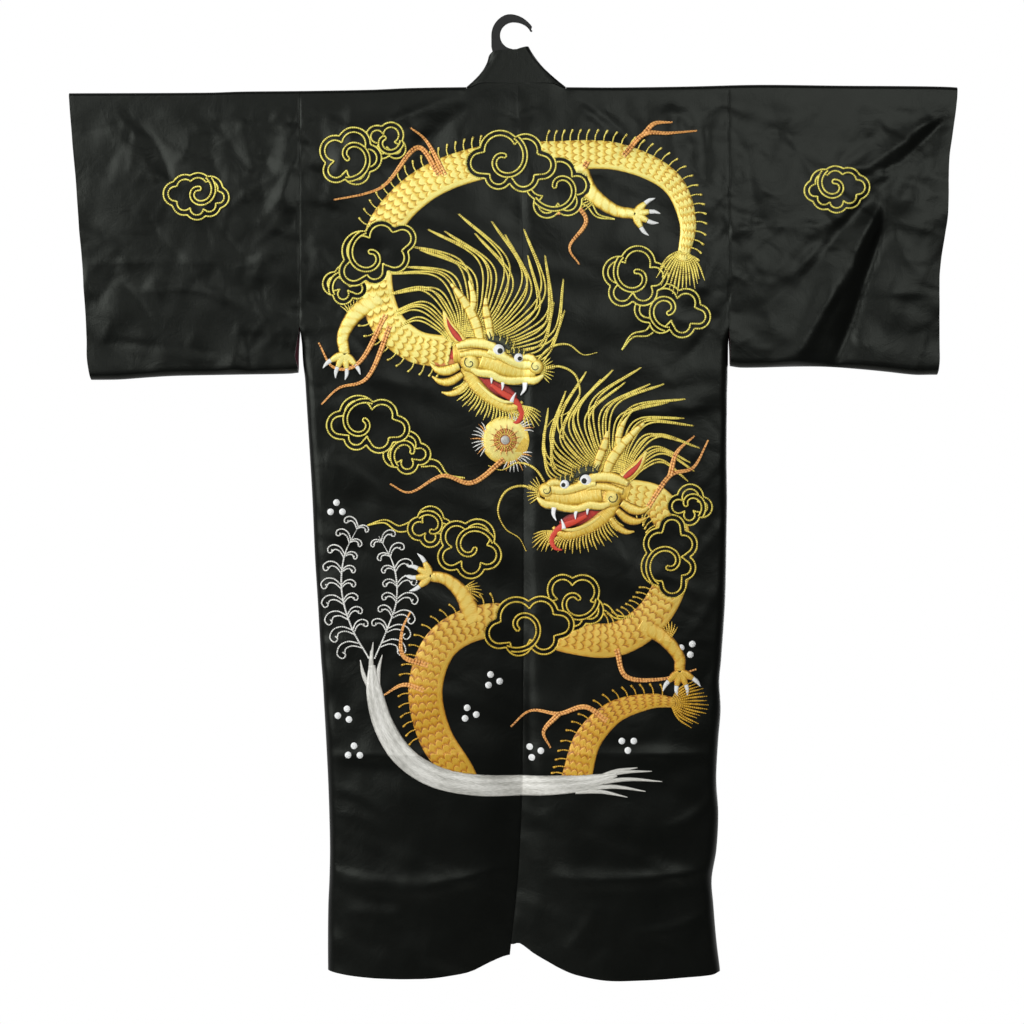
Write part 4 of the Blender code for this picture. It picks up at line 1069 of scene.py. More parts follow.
def behindAny(points, loops):
    found = np.zeros(np.asarray(points).shape[:-1], bool)
    for loop in loops:
        found |= insideOf(loop, points)
    return found


def drawRuns(finish, line, keep, radius, lift, **more):  # only the stretches of the line that are kept
    start = None
    for i in range(len(line) + 1):
        on = i < len(line) and keep[i]
        if on and start is None:
            start = i
        if not on and start is not None:
            if i - start > 2:
                drawThread(finish, line[start:i], radius, lift, **more)
            start = None


def bandLine(path, gap):  # one line down one side of a path, round its end and back up the other
    out = sideways(path) * gap / 2
    along = unit(path[-1] - path[-2])
    turns = np.linspace(0.4, 2.74, 6)
    cap = [path[-1] + out[-1] * math.cos(a) + along * gap / 2 * math.sin(a) for a in turns]
    return np.vstack([path + out, cap, (path - out)[::-1]])


def drawCloud(cloud, before):
    x, z, size, turn, shape, curlStart, way, tail = cloud
    radius, gap, lift = cloudCord["radius"], cloudCord["gap"], cloudCord["lift"]
    outline, inner = cloudOutline(cloud), cloudOutline(cloud, gap)
    _, middle, turns, closes = cloudShapes[shape]
    centre = rotated(middle, turn, size) + [x, z]
    t = np.linspace(0, 1, 60)
    hand = math.copysign(1, size)
    toward = rotated(headingAt(curlStart), turn, hand)
    spokes = outline - centre
    far = np.linalg.norm(spokes, axis=1)
    cusp = np.argmin(np.where(spokes @ toward > far * 0.8, far, np.inf))  # between lobes, near curlStart
    angle = math.atan2(spokes[cusp, 1], spokes[cusp, 0]) + way * hand * t * turns * 2 * math.pi
    reach = far[cusp] * (1 - t) ** closes + gap * 0.95 * t
    curl = centre + np.stack([np.cos(angle), np.sin(angle)], -1) * reach[:, None]
    curlBand = bandLine(curl, gap * 0.86)

    def drawShown(line, keep, higher=0.0):
        drawRuns("cloudCord", line, keep & ~behindAny(line, before), radius, lift + higher)

    clear = np.ones(len(inner), bool)
    for point in curl:
        clear &= np.linalg.norm(inner - point, axis=1) > gap * 0.47
    drawShown(outline, True)
    drawShown(inner, clear)
    drawShown(curlBand, insideOf(outline, curlBand), 0.3)
    if tail is not None:
        others = [cloudOutline(other) for group in cloudGroups for other in group if other is not cloud]
        heading = headingAt(tail)
        aside = np.array([-heading[1], heading[0]])
        root = np.array([x, z]) + heading * 24 * abs(size)
        path = smoothPath([root, root + heading * 20 + aside * 9, root + heading * 42 + aside * 2,
                           root + heading * 66 + aside * 12], 2.5)
        closing = (1 - np.linspace(0, 1, len(path)))[:, None] * gap * 0.9
        for side in (-1, 1):
            line = path + sideways(path) * closing * side
            drawShown(line, ~insideOf(outline, line) & ~behindAny(line, others))


for group in cloudGroups:
    for number, cloud in enumerate(group):
        drawCloud(cloud, [cloudOutline(front) for front in group[:number]])
for cloud in sleeveClouds:
    drawCloud(cloud, [])

# Dragons. Each body is a padded strip with rows of scales, and small spines stand along its back.
# Bodies pass behind the clouds: there the stitching stops, and its mesh dips below the satin.
dragons = {  # path as x, z; girth as per cent of the way along, half width
    "upper": {
        "path": [(246, -352), (254, -292), (226, -232), (150, -198), (56, -198), (-40, -206), (-124, -236),
                 (-182, -292), (-202, -364), (-188, -434), (-146, -474), (-92, -484)],
        "girth": [(0, 8), (10, 14), (25, 20), (45, 24), (80, 25), (100, 23)],
        "spineSide": -1,
    },
    "lower": {
        "path": [(-67, -1115), (-78, -1096), (-114, -1042), (-128, -974), (-106, -910), (-52, -878),
                 (16, -878), (84, -898), (148, -902), (202, -868), (232, -808), (232, -744), (208, -702),
                 (166, -690)],
        "girth": [(0, 19), (6, 23.5), (20, 25), (60, 25), (85, 24), (100, 22)],
        "spineSide": 1,
    },
    "tail": {
        "path": [(88, -1114), (93, -1098), (108, -1048), (146, -1008), (198, -992), (236, -994)],
        "girth": [(0, 22), (40, 19), (75, 13), (100, 7)],
        "spineSide": 1,
    },
}
scalePattern = {"row": 11.5, "lobes": 4.4, "wave": 0.6, "rise": 0.9, "belly": 0.64, "columns": 49}
spine = {"spacing": 13, "step": 1.45, "thick": 1.7, "thin": 1.1}  # step: of the path's points


def scalePhase(u, v):  # 0 where a scale comes out from under the last one, 1 at its free edge
    s = v / scalePattern["row"]
    wave, lobes = scalePattern["wave"], scalePattern["lobes"]

    def edgeOf(row):
        lobe = np.abs(np.sin(math.pi * (u * lobes / 2 + 0.5 * np.mod(row, 2)))) ** 0.75
        return row - wave * (1 - lobe)

    k = np.floor(s)
    for _ in range(2):
        k = np.where(s >= edgeOf(k + 1), k + 1, k)
        k = np.where(s < edgeOf(k), k - 1, k)
    return np.clip((s - edgeOf(k)) / np.maximum(0.15, edgeOf(k + 1) - edgeOf(k)), 0, 1)


def scaleShade(u, v):
    phase = scalePhase(u, v)
    belly = smooth((u - scalePattern["belly"]) / 0.08)
    # painted shade where a scale comes out from under the last one, and a painted highlight towards its free
    # edge
    scaly = 0.12 + 0.44 * smooth(phase / 0.22) + 0.42 * smooth((phase - 0.25) / 0.4)
    # painted shade along the scale's free edge
    scaly -= 0.62 * smooth((phase - 0.88) / 0.1)
    # a painted highlight down the middle of the belly band
    plain = 0.72 + 0.26 * np.cos((u - 0.82) * 9)
    return scaly * (1 - belly) + plain * belly + 0.05 * np.sin(v * 0.043)


def scaleHeights(u, v):
    belly = smooth((u - scalePattern["belly"]) / 0.08)
    phase = scalePhase(u, v)
    tile = phase * (1 - smooth((phase - 0.94) / 0.06))
    return scalePattern["rise"] * tile * (1 - belly) * (1 - np.abs(u) ** 8) + 0.5 * belly


def drawDragonBody(dragon):
    path = smoothPath(dragon["path"], spine["step"])
    share = np.linspace(0, 100, len(path))
    half = readTable(dragon["girth"], share)
    flip = dragon["spineSide"]
    drawStrip("goldScale", path, half, 0.3, 2.4, scalePattern["columns"],
              lambda u, v, h: scaleShade(-u * flip, v), lambda u, v, h: scaleHeights(-u * flip, v), 0.3, True)
    out = sideways(path) * flip
    step = int(spine["spacing"] / spine["step"])
    for i in range(step, len(path) - step, step):
        root = path[i] + out[i] * (half[i] - 1.5)
        lean = unit(path[i] - path[max(0, i - 6)])
        line = smoothPath([root, root + out[i] * 9 - lean * 1, root + out[i] * 17 - lean * 5], 1.8)
        if not behindAny(line, fronts).any():  # the spine's last three points are a thick tip
            size = np.where(np.arange(len(line)) > len(line) - 4, spine["thick"], spine["thin"])
            threads.setdefault("goldCord", []).append((line, size, 0.5))


for dragon in dragons.values():
    drawDragonBody(dragon)


# Heads, drawn facing +x about the back of the cheek, then turned, mirrored and placed.
headShapes = [  # finish, lift, crown, tone, then x, z, half width along the shape
    ("redFill", 0.6, 0.8, 0.6, [(-26, 2, 5), (-40, 0, 7.5), (-54, -3, 5), (-68, 1, 1)]),
    ("rustFill", 1.2, 0.9, 0.75, [(-28, -6, 4), (-42, -10, 5), (-56, -12, 3.4), (-66, -9, 0.8)]),
    ("goldFill", 0.6, 2.6, 0.36, [(-34, 2, 12), (-20, 6, 19), (-2, 6, 21), (14, 4, 16), (26, 2, 10)]),
    ("redFill", 0.7, 0.8, 0.3, [(-4, -10, 4), (10, -19, 9), (26, -26, 9), (40, -29, 6.5), (51, -32, 2)]),
    ("goldFill", 1.0, 2.2, 0.46, [(-18, -10, 6), (-6, -23, 9), (10, -35, 8.5), (27, -43, 7), (42, -47, 6),
                                  (53, -43, 4.5), (59, -36, 2)]),
    ("goldFill", 3.0, 1.0, 0.8, [(2, -25, 1.2), (18, -35, 2.4), (35, -40.5, 2.4), (49, -39, 1)]),
    ("redFill", 2.2, 1.2, 0.9, [(18, -24, 2.5), (34, -31, 3.8), (50, -37, 4), (61, -49, 3.6), (58, -61, 2.4),
                                (49, -64, 0.8)]),
    ("goldFill", 1.6, 3.0, 0.48, [(0, 2, 12), (16, 0, 12), (32, -2, 10.5), (46, -2, 10), (58, -1, 9),
                                  (67, 1, 6)]),
    ("goldFill", 3.2, 2.0, 0.74, [(-14, -8, 3), (0, -13, 5), (14, -11.5, 5.6), (28, -15, 5), (42, -14, 5.6),
                                  (56, -10, 5), (68, -8, 5), (77, 0, 2)]),
    ("goldFill", 3.6, 2.4, 0.7, [(6, 14, 4), (22, 12, 6), (36, 8, 6), (48, 7, 6.5), (60, 9, 6)]),
    ("goldFill", 4.0, 2.0, 0.62, [(46, 14, 2.5), (53, 17, 5), (60, 16, 5), (65, 12, 3)]),
    ("goldFill", 3.0, 2.0, 0.56, [(-26, 3, 4), (-8, 9, 5.5), (8, 10, 5), (18, 8, 3.5)]),
    ("goldFill", 3.4, 2.2, 0.68, [(-32, 12, 4), (-15, 20, 6.6), (3, 22, 6.6), (18, 18, 5), (30, 12, 3)]),
    ("goldFill", 2.6, 2.0, 0.56, [(-24, -10, 5), (-36, -18, 6.5), (-48, -20, 4.6), (-59, -14, 1)]),
    ("goldFill", 2.2, 1.8, 0.46, [(-18, -19, 4), (-30, -30, 5.4), (-42, -33, 4), (-53, -29, 1)]),
    ("goldFill", 1.6, 1.6, 0.5, [(-10, -28, 3), (-18, -39, 4.4), (-28, -45, 3.4), (-38, -45, 0.8)]),
    ("darkFill", 4.2, 1.2, 0.5, [(3, 24, 2), (11, 30, 4.2), (22, 29, 4.2), (31, 22, 2)]),
    ("darkFill", 4.2, 1.0, 0.45, [(34, 16.5, 1.5), (41, 21, 3.2), (49, 19.5, 2.4), (55, 15, 1)]),
    ("goldFill", 1.8, 1.8, 0.6, [(-20, 16, 5), (-34, 24, 8), (-46, 35, 6.4), (-56, 50, 1.2)]),
    ("redFill", 3.4, 0.7, 0.6, [(-24, 17, 1.5), (-34, 24, 3.6), (-44, 33, 2.6), (-51, 43, 0.8)]),
    ("whiteFill", 4.4, 1.2, 0.8, [(57, -13, 3.2), (58, -21, 2.2), (55, -29, 0.5)]),
    ("whiteFill", 4.2, 1.0, 0.8, [(31, -18, 2.4), (32, -23, 1.5), (32, -28, 0.4)]),
    ("whiteFill", 4.2, 1.0, 0.8, [(17, -15, 2.2), (17.5, -19, 1.4), (18, -23, 0.4)]),
    ("whiteFill", 3.6, 1.0, 0.8, [(46, -39, 2.6), (47, -33, 1.7), (49, -27, 0.4)]),
]
# A lighter middle and a darker rim are a painted highlight and painted shade on the padded dome.
headDiscs = [  # finish, x, z, radius, lift, crown, tone at the middle, tone at the rim
    ("goldFill", -12, -4, 11.5, 3.0, 2.6, 0.95, 0.25), ("goldFill", 66, 8, 9, 4.0, 3.2, 1.0, 0.3),
    ("darkFill", 18, 18, 8.6, 4.2, 1.0, 0.1, 0.1), ("whiteFill", 18, 18, 7.0, 5.0, 1.6, 0.9, 0.5),
    ("darkFill", 20, 17.5, 3.3, 6.4, 0.7, 0.0, 0.0), ("darkFill", 43.5, 14, 6.8, 4.6, 1.0, 0.1, 0.1),
    ("whiteFill", 43.5, 14, 5.5, 5.4, 1.5, 0.9, 0.5), ("darkFill", 45, 13.5, 2.6, 6.8, 0.6, 0.0, 0.0),
]
hornRows = [  # two antlers: x, z, half width, stitched in short blocks
    [(-6, 26, 5.5), (-14, 42, 6.5), (-26, 58, 6), (-40, 72, 4.6), (-54, 84, 1.8)],
    [(-24, 54, 3.6), (-23, 68, 4.6), (-27, 80, 3.6), (-34, 92, 1.2)],
    [(6, 28, 4.2), (1, 44, 5.2), (-6, 60, 4.8), (-10, 76, 1.8)],
]
headPlaces = [  # fan: the mane's first and last angle; reach: its shortest and longest strand
    {"centre": (-48, -498), "turn": -12, "mirror": 1, "scale": 1.22, "fan": (18, 168), "reach": (118, 172),
     "seed": 11},
    {"centre": (128, -692), "turn": -2, "mirror": -1, "scale": 1.22, "fan": (22, 160), "reach": (96, 150),
     "seed": 12},
]
mane = {"strands": 44, "root": (-14, 6), "rootRadius": 21, "swing": 0.3, "lengths": (1.0, 0.88, 1.05, 0.93)}


def drawHead(head):
    def place(points):
        return rotated(points, head["turn"], head["scale"]) * (head["mirror"], 1) + head["centre"]

    def cord(finish, points, radius, lift, taper=(0, 0), step=2.4):
        line = smoothPath(place(points), step)
        drawRuns(finish, line, ~behindAny(line, fronts), radius, lift, taper=taper)

    rng = np.random.RandomState(head["seed"])
    first, last = head["fan"]
    shortest, longest = head["reach"]
    strands = mane["strands"]
    for i in range(strands):  # the mane's lines close in pairs at their tips
        pair = (i // 2 * 2 + 0.5) / (strands - 1)
        share = i / (strands - 1)
        reach = shortest + (longest - shortest) * math.sin(math.pi * min(1, pair * 1.04 + 0.04))
        reach *= mane["lengths"][(i // 2) % 4] / head["scale"]
        heading = headingAt(first + (last - first) * share)
        tipHeading = headingAt(
            first + (last - first) * (pair + 0.15 * (share - pair)) + math.degrees(mane["swing"]))
        bend = np.array([-heading[1], heading[0]]) * -0.13 * reach
        root = mane["root"] + mane["rootRadius"] * heading
        tip = mane["root"] + (mane["rootRadius"] + reach) * tipHeading
        along = heading * reach
        strand = [root, root + along * 0.33 + bend, root + along * 0.68 + bend * 0.8, tip]
        cord("goldCord", strand, 1.45, 0.5 + 0.25 * (i % 2), (0.0, 0.1), 3.2)
    for rows in hornRows:
        rows = smoothPath(rows, 1.4)
        # a painted highlight along each antler's middle; the dark bands part its stitched blocks
        drawStrip("goldFill", place(rows[:, :2]), rows[:, 2] * head["scale"], 2.4, 2.0, 9,
                  lambda u, v, h: 0.62 + 0.24 * (1 - u**2) - 0.5 * (np.abs(np.mod(v / 17, 1) - 0.5) > 0.42))
    for finish, lift, crown, tone, rows in headShapes:
        rows = smoothPath(rows, 1.5)
        # a painted highlight along each shape's crowned middle
        drawStrip(finish, place(rows[:, :2]), rows[:, 2] * head["scale"], lift, crown, 11,
                  lambda u, v, h, tone=tone: tone - 0.12 + 0.34 * (1 - u**2) + 0.05 * np.sin(v * 0.9))
    # a painted highlight in each disc's middle, fading to painted shade at its rim
    for finish, x, z, size, lift, crown, middleTone, rimTone in headDiscs:
        drawDisc(finish, place((x, z)), size * head["scale"], lift, crown,
                 lambda r, a, m=middleTone, e=rimTone: m + (e - m) * r**2)
    for i in range(26):  # tufts of the two brows, dark and gold by turns
        share = (i % 13) / 12
        x, wide, z, high, size = (1, 32, 25, 6, 1) if i < 13 else (33, 22, 17, 4, 0.75)
        root = np.array([x + wide * share, z + high * math.sin(math.pi * share) - 3 * share])
        tip = root + np.array([-5 + 6 * share, 8 + 4 * rng.rand()]) * size
        cord("browCord" if i % 3 else "goldCord", [root, (root + tip) / 2 + (1.2, 0), tip], 0.9, 4.4,
             (0, 0.4), 2.0)
    for i in range(24):  # beard below the jaw
        share = i / 23
        root = np.array([-14 + 68 * share, -27 - 21 * share**0.7])
        length = (20 + 8 * math.sin(math.pi * share)) * (1 if i % 2 else 0.82)
        tip = root + length * headingAt(-136 + 92 * share)
        cord("goldCord", [root, (root + tip) / 2 + (2, 0), tip], 1.4, 0.7, (0, 0.25), 2.4)
    for i in range(7):  # tuft of the chin
        angle = -52 + 9 * i
        root = (55, -41) + 3 * headingAt(angle)
        tip = root + (32 - 2.4 * abs(i - 3)) * headingAt(angle - math.degrees(0.16))
        cord("goldCord", [root, (root + tip) / 2 + (1.5, 1.5), tip], 1.4, 1.0, (0, 0.3), 2.4)
    for i in range(9):  # bristles round the nose
        heading = headingAt(68 - 13 * i)
        root = (70, 5) + heading * (4, 6)
        tip = root + 15 * heading
        cord("goldCord", [root, (root + tip) / 2, tip], 1.1, 1.2, (0, 0.3), 2.2)
    for lines in ([(68, 2), (92, 14), (114, 8), (124, -14), (116, -36), (100, -48), (92, -64)],
                  [(64, 12), (78, 34), (98, 42), (118, 34), (134, 40)]):
        cord("goldCord", lines, 1.9, 1.0, (0.1, 0.7))
    for middle, size in (((66, 8), 6.0), ((-12, -4), 7.5)):  # curls of the nostril and the cheek
        curl = [middle + size * (1 - t) * headingAt(math.degrees(7 * t + 2.4))
                for t in np.linspace(0, 0.9, 12)]
        cord("browCord", curl, 0.75, 6.2 if size < 7 else 5.0)
    cord("browCord", [(-10, -13), (4, -18), (16, -17), (30, -20), (44, -19), (58, -16), (68, -14)], 0.8, 3.0)


for head in headPlaces:
    drawHead(head)


def drawTailFan(root, heading, count, reach, spread, seed):
    rng = np.random.RandomState(seed)
    for i in range(count):
        share = i / (count - 1) - 0.5
        along = headingAt(heading + spread * share)
        tip = root + reach * (1 - 0.45 * abs(share)) * rng.uniform(0.88, 1.1) * along
        aside = np.array([-along[1], along[0]]) * 12 * share
        line = smoothPath([root, (root + tip) / 2 + aside, tip], 2.5)
        drawThread("goldCord", line, 1.6, 0.6, (0.0, 0.3))


drawTailFan((248, -334), -98, 15, 66, 84, 5)
drawTailFan((228, -994), -4, 15, 58, 92, 6)

# Legs: root, knee, ankle and the direction of the claws
legs = [
    {"path": [(-194, -404), (-228, -426), (-248, -458), (-246, -486)], "half": [15, 12, 9, 8], "claws": -100},
    {"path": [(92, -212), (112, -250), (146, -276), (176, -282)], "half": [15, 12, 9, 8], "claws": -10},
    {"path": [(-58, -878), (-72, -840), (-96, -816), (-120, -810)], "half": [15, 12, 9, 8], "claws": 168},
    {"path": [(184, -880), (216, -898), (240, -926), (242, -948)], "half": [14, 11, 9, 8], "claws": -84},
]
for leg in legs:
    rows = smoothPath([(x, z, h) for (x, z), h in zip(leg["path"], leg["half"])], 1.6)
    # a painted highlight along the leg's middle, over its pattern of scales
    drawStrip("goldFill", rows[:, :2], rows[:, 2], 1.2, 2.2, 13,
              lambda u, v, h: 0.34 + 0.3 * (1 - u**2) + 0.3 * np.abs(np.sin(v * 0.24 + u * 1.2)) ** 0.6,
              dips=True)
    ankle = rows[-1, :2]
    for toe in range(4):
        heading = headingAt(leg["claws"] + (toe - 1.5) * 36)
        knuckle, toeTip = ankle + heading * 12, ankle + heading * 22
        toeRows = smoothPath([(*(ankle + heading * 2), 5.0), (*knuckle, 6.2), (*toeTip, 3.6)], 1.5)
        # a painted highlight along each toe's middle
        drawStrip("goldFill", toeRows[:, :2], toeRows[:, 2], 2.0, 2.0, 9,
                  lambda u, v, h: 0.5 + 0.34 * (1 - u**2) + 0 * v)
        curve = np.array([heading[1], -heading[0]]) * (1 if toe > 1 else -1)
        clawTip = toeTip + heading * 16 + curve * 5
        bent = (toeTip + clawTip) / 2 - curve * 1.2
        clawRows = smoothPath([(*toeTip, 3.4), (*bent, 2.8), (*clawTip, 0.5)], 1.5)
        drawStrip("whiteFill", clawRows[:, :2], clawRows[:, 2], 2.2, 1.4, 7)
    for i in range(9):  # hair at the elbow
        elbow = rows[len(rows) // 2, :2]
        tip = elbow + (34 - 2 * abs(i - 4)) * headingAt(leg["claws"] + 140 + 11 * i)
        line = smoothPath([elbow, (elbow + tip) / 2 + (2, 2), tip], 2.5)
        drawRuns("goldCord", line, ~behindAny(line, fronts), 1.2, 0.6, taper=(0, 0.3))

# Flame ribbons: pairs of copper braid that wave away from shoulders and hips
ribbonCord = {"radius": 2.2, "gap": 2.1}
ribbons = [
    [(-186, -430), (-224, -498), (-262, -506), (-284, -470)],
    [(-180, -446), (-212, -520), (-254, -536), (-280, -560)],
    [(-108, -226), (-140, -184), (-184, -236), (-214, -252), (-262, -262)],
    [(-100, -226), (-126, -176), (-150, -156)],
    [(108, -206), (84, -252), (106, -292), (82, -330), (96, -356)], [(92, -262), (62, -282), (34, -276)],
    [(160, -198), (190, -166), (228, -164), (268, -160)], [(190, -166), (206, -150), (232, -148)],
    [(196, -710), (228, -664), (262, -652), (284, -612)], [(228, -664), (238, -630), (264, -606)],
    [(-130, -976), (-160, -968), (-190, -984)], [(-124, -940), (-160, -926), (-162, -890), (-150, -862)],
    [(150, -916), (164, -956), (214, -960), (266, -946)],
    [(-14, -640), (-60, -674), (-104, -664), (-150, -688), (-180, -676)],
    [(136, -1020), (104, -1000), (66, -1010), (26, -1006), (-4, -1030)],
    [(66, -1010), (44, -1036), (54, -1060)],
]
for ribbon in ribbons:
    line = smoothPath(ribbon, 2.2)
    aside = sideways(line) * ribbonCord["gap"] * (1 - 0.75 * np.linspace(0, 1, len(line))[:, None])
    for strand in (line - aside, line + aside):
        drawRuns("copperBraid", strand, ~behindAny(strand, fronts), ribbonCord["radius"], 0.9,
                 taper=(0, 0.75))

# The pearl between the two heads, with its flames
pearl = {"centre": np.array([-12.0, -612.0]), "radius": 35, "rays": 30, "flames": (52, 178, 300)}
# painted shade darkens the pearl towards its rim
drawDisc("goldFill", pearl["centre"], pearl["radius"], 0.6, 3.4,
         lambda r, a: 0.92 - 0.4 * r**6 + 0.06 * np.sin(a * 16) * r, 10)
drawDisc("rustFill", pearl["centre"], 17, 3.6, 0.8, lambda r, a: 0.75 + 0.25 * np.sign(np.sin(a * 9)) * r)
drawDisc("silverFill", pearl["centre"], 6.5, 4.8, 2.2)
for i in range(pearl["rays"]):
    line = pearl["centre"] + headingAt(360 * i / pearl["rays"]) * np.linspace(8, 17 + 6 * (i % 2), 7)[:, None]
    drawThread("copperBraid" if i % 2 else "goldCord", line, 0.9, 4.4, (0, 0.4))
for middle in pearl["flames"]:
    for i in range(11):
        root = pearl["centre"] + 32 * headingAt(middle + (i - 5) * 5)
        tip = root + (19 - 1.2 * abs(i - 5)) * headingAt(middle + (i - 5) * 12)
        line = smoothPath([root, (root + tip) / 2 + (0.6, 1), tip], 2.2)
        drawThread("copperBraid" if i % 4 == 1 else "silverCord", line, 1.1, 1.0, (0, 0.5))

# Breaking wave in silver and its spray
waveStrokes = [  # x, z, heading, length: tapered stitches that run out past both ends
    (110, -1106, 8, 92), (112, -1112, 2, 104), (104, -1118, -3, 88), (90, -1123, -6, 76),
    (120, -1104, 15, 62), (-203, -964, 96, 46), (-197, -968, 82, 44), (-210, -972, 108, 42),
    (-204, -960, 90, 54),
]
drawStrip("silverFill", waveBand[:, :2], waveBand[:, 2], 2.0, 1.4, 19,
          lambda u, v, h: (0.8 + 0.1 * np.sin(u * 9 + 0.8 * np.sin(v * 0.02))
                           + 0.08 * np.sin(v * 0.07 + u * 2)),
          lambda u, v, h: 0.15 * np.sin(u * 11 + 0.6 * np.sin(v * 0.02)) * (1 - u**4), 0.3)
for x, z, heading, length in waveStrokes:
    root, along = np.array([x, z], float), headingAt(heading) * length
    middle = root + along * 0.5 + np.array([-along[1], along[0]]) * 0.05
    rows = smoothPath([(*root, 3.5), (*middle, 3.0), (*(root + along), 0.6)], 1.9)
    drawStrip("silverFill", rows[:, :2], rows[:, 2], 1.8, 1.2, 7, lambda u, v, h: 0.8 + 0 * v)

spray = {  # two ferns of foam: each leaf is a loop of cord with a hooked tip
    "stems": [
        [(-210, -930), (-236, -884), (-250, -832), (-246, -780), (-226, -738)],
        [(-202, -930), (-184, -888), (-170, -844), (-174, -796), (-196, -752)],
    ],
    "step": 2.5, "leaf": 38, "inward": 0.7, "spacing": 24, "bare": 26, "bareInward": 44,
    "outer": [(0, 0), (0.35, 0.32), (0.75, 0.36), (1.02, 0.12), (0.93, -0.14), (0.74, -0.08), (0.79, 0.08)],
    "inner": [(0, -0.2), (0.3, 0.08), (0.6, 0.13), (0.75, -0.05)],
}
for number, stem in enumerate(spray["stems"]):
    line = smoothPath(stem, spray["step"])
    drawThread("silverCord", line, 1.35, 0.6, (0, 0.3))
    out = sideways(line)
    for i in range(int(spray["bare"] / spray["step"]), len(line), int(spray["spacing"] / spray["step"])):
        for hand in (-1, 1):
            inward = hand == (1 if number else -1)
            if inward and i * spray["step"] < spray["bareInward"]:
                continue
            size = spray["leaf"] * (1 - 0.42 * i / len(line)) * (spray["inward"] if inward else 1)
            forward, aside = unit(line[min(i + 1, len(line) - 1)] - line[i - 1]), out[i] * hand
            for leaf in ("outer", "inner"):
                points = [line[i] + aside * a * size + forward * f * size for a, f in spray[leaf]]
                drawThread("silverCord", smoothPath(points, 2.0), 1.1, 0.6 + 0.2 * (hand + 1))

dots = [  # the middle of each group of three
    (-258, -712), (-30, -962), (30, -1066), (166, -1054), (254, -916), (-246, -1012), (-232, -1066),
    (-64, -1010),
]
for number, middle in enumerate(dots):
    for i in range(3):
        centre = middle + headingAt(90 + 120 * i + 20 * number) * (10, 9)
        drawDisc("whiteFill", centre, 4.8, 0.3, 1.8, None, 3)
print("embroidery drawn:", {k: len(v) for k, v in threads.items()}, {k: len(v) for k, v in fills.items()})


# Geometry Nodes turn the drawn lines into round cords with their length kept for the twist.
def cordTree():
    tree = bpy.data.node_groups.new("couchedCord", "GeometryNodeTree")
    face = tree.interface
    face.new_socket("Geometry", in_out="INPUT", socket_type="NodeSocketGeometry")
    sides = face.new_socket("Sides", in_out="INPUT", socket_type="NodeSocketInt")
    finish = face.new_socket("Finish", in_out="INPUT", socket_type="NodeSocketMaterial")
    face.new_socket("Geometry", in_out="OUTPUT", socket_type="NodeSocketGeometry")
    source = addNode(tree, "NodeGroupInput")
    line = addNode(tree, "GeometryNodeMeshToCurve", {"Mesh": source.outputs["Geometry"]})
    size = addNode(tree, "GeometryNodeInputNamedAttribute", {"Name": "threadRadius"}, data_type="FLOAT")
    sized = addNode(tree, "GeometryNodeSetCurveRadius", {"Curve": line.outputs[0], "Radius": size.outputs[0]})
    length = addNode(tree, "GeometryNodeSplineParameter")
    marked = addNode(tree, "GeometryNodeStoreNamedAttribute", {
        "Geometry": sized.outputs[0], "Name": "along", "Value": length.outputs["Length"]}, data_type="FLOAT",
        domain="POINT")
    ring = addNode(tree, "GeometryNodeCurvePrimitiveCircle", {
        "Resolution": source.outputs["Sides"], "Radius": 1.0})
    tube = addNode(tree, "GeometryNodeCurveToMesh", {
        "Curve": marked.outputs[0], "Profile Curve": ring.outputs[0], "Fill Caps": True})
    if "Scale" in tube.inputs:
        tree.links.new(size.outputs[0], tube.inputs["Scale"])
    smoothed = addNode(tree, "GeometryNodeSetShadeSmooth", {"Geometry": tube.outputs[0]})
    real = addNode(tree, "GeometryNodeRealizeInstances", {"Geometry": smoothed.outputs[0]})
    dressed = addNode(tree, "GeometryNodeSetMaterial", {
        "Geometry": real.outputs[0], "Material": source.outputs["Finish"]})
    addNode(tree, "NodeGroupOutput", {"Geometry": dressed.outputs[0]})
    return tree, sides.identifier, finish.identifier


def applyTree(name, source, tree, inputs):
    source.modifiers.new("made", "NODES").node_group = tree
    for identifier, value in inputs.items():
        source.modifiers["made"][identifier] = value
    graph = bpy.context.evaluated_depsgraph_get()
    mesh = bpy.data.meshes.new_from_object(source.evaluated_get(graph))
    mesh.name = name
    bpy.data.objects.remove(source)
    return linkedObject(name, mesh)


def linesObject(name, lines):
    points, pairs, sizes = [], [], []
    for line, size, lift in lines:
        first = len(points)
        points += (onCloth(line, lift + size * 0.5) * mm).tolist()
        pairs += [(first + i, first + i + 1) for i in range(len(line) - 1)]
        sizes += (size * mm).tolist()
    mesh = bpy.data.meshes.new(name)
    mesh.from_pydata(points, pairs, [])
    mesh.attributes.new("threadRadius", "FLOAT", "POINT").data.foreach_set("value", sizes)
    return linkedObject(name, mesh)


couch, sidesInput, finishInput = cordTree()
stitched = {  # finish: piece and slot
    "goldCord": ("gold_cords", "gold_thread"), "cloudCord": ("cloud_cords", "gold_thread"),
    "copperBraid": ("copper_ribbons", "copper_thread"), "silverCord": ("silver_cords", "silver_thread"),
    "browCord": ("brow_tufts", "satin"), "goldScale": ("dragon_scales", "gold_thread"),
    "goldFill": ("gold_stitching", "gold_thread"), "silverFill": ("silver_wave", "silver_thread"),
    "redFill": ("red_stitching", "satin"), "darkFill": ("dark_stitching", "satin"),
    "whiteFill": ("white_stitching", "silver_thread"), "rustFill": ("rust_stitching", "copper_thread"),
}
cordSides = 6
embroidery = []
for finish, lines in threads.items():
    piece, slot = stitched[finish]
    made = applyTree(piece, linesObject(finish + "Lines", lines), couch,
                     {sidesInput: cordSides, finishInput: finishes[finish]})
    embroidery.append((made, slot))
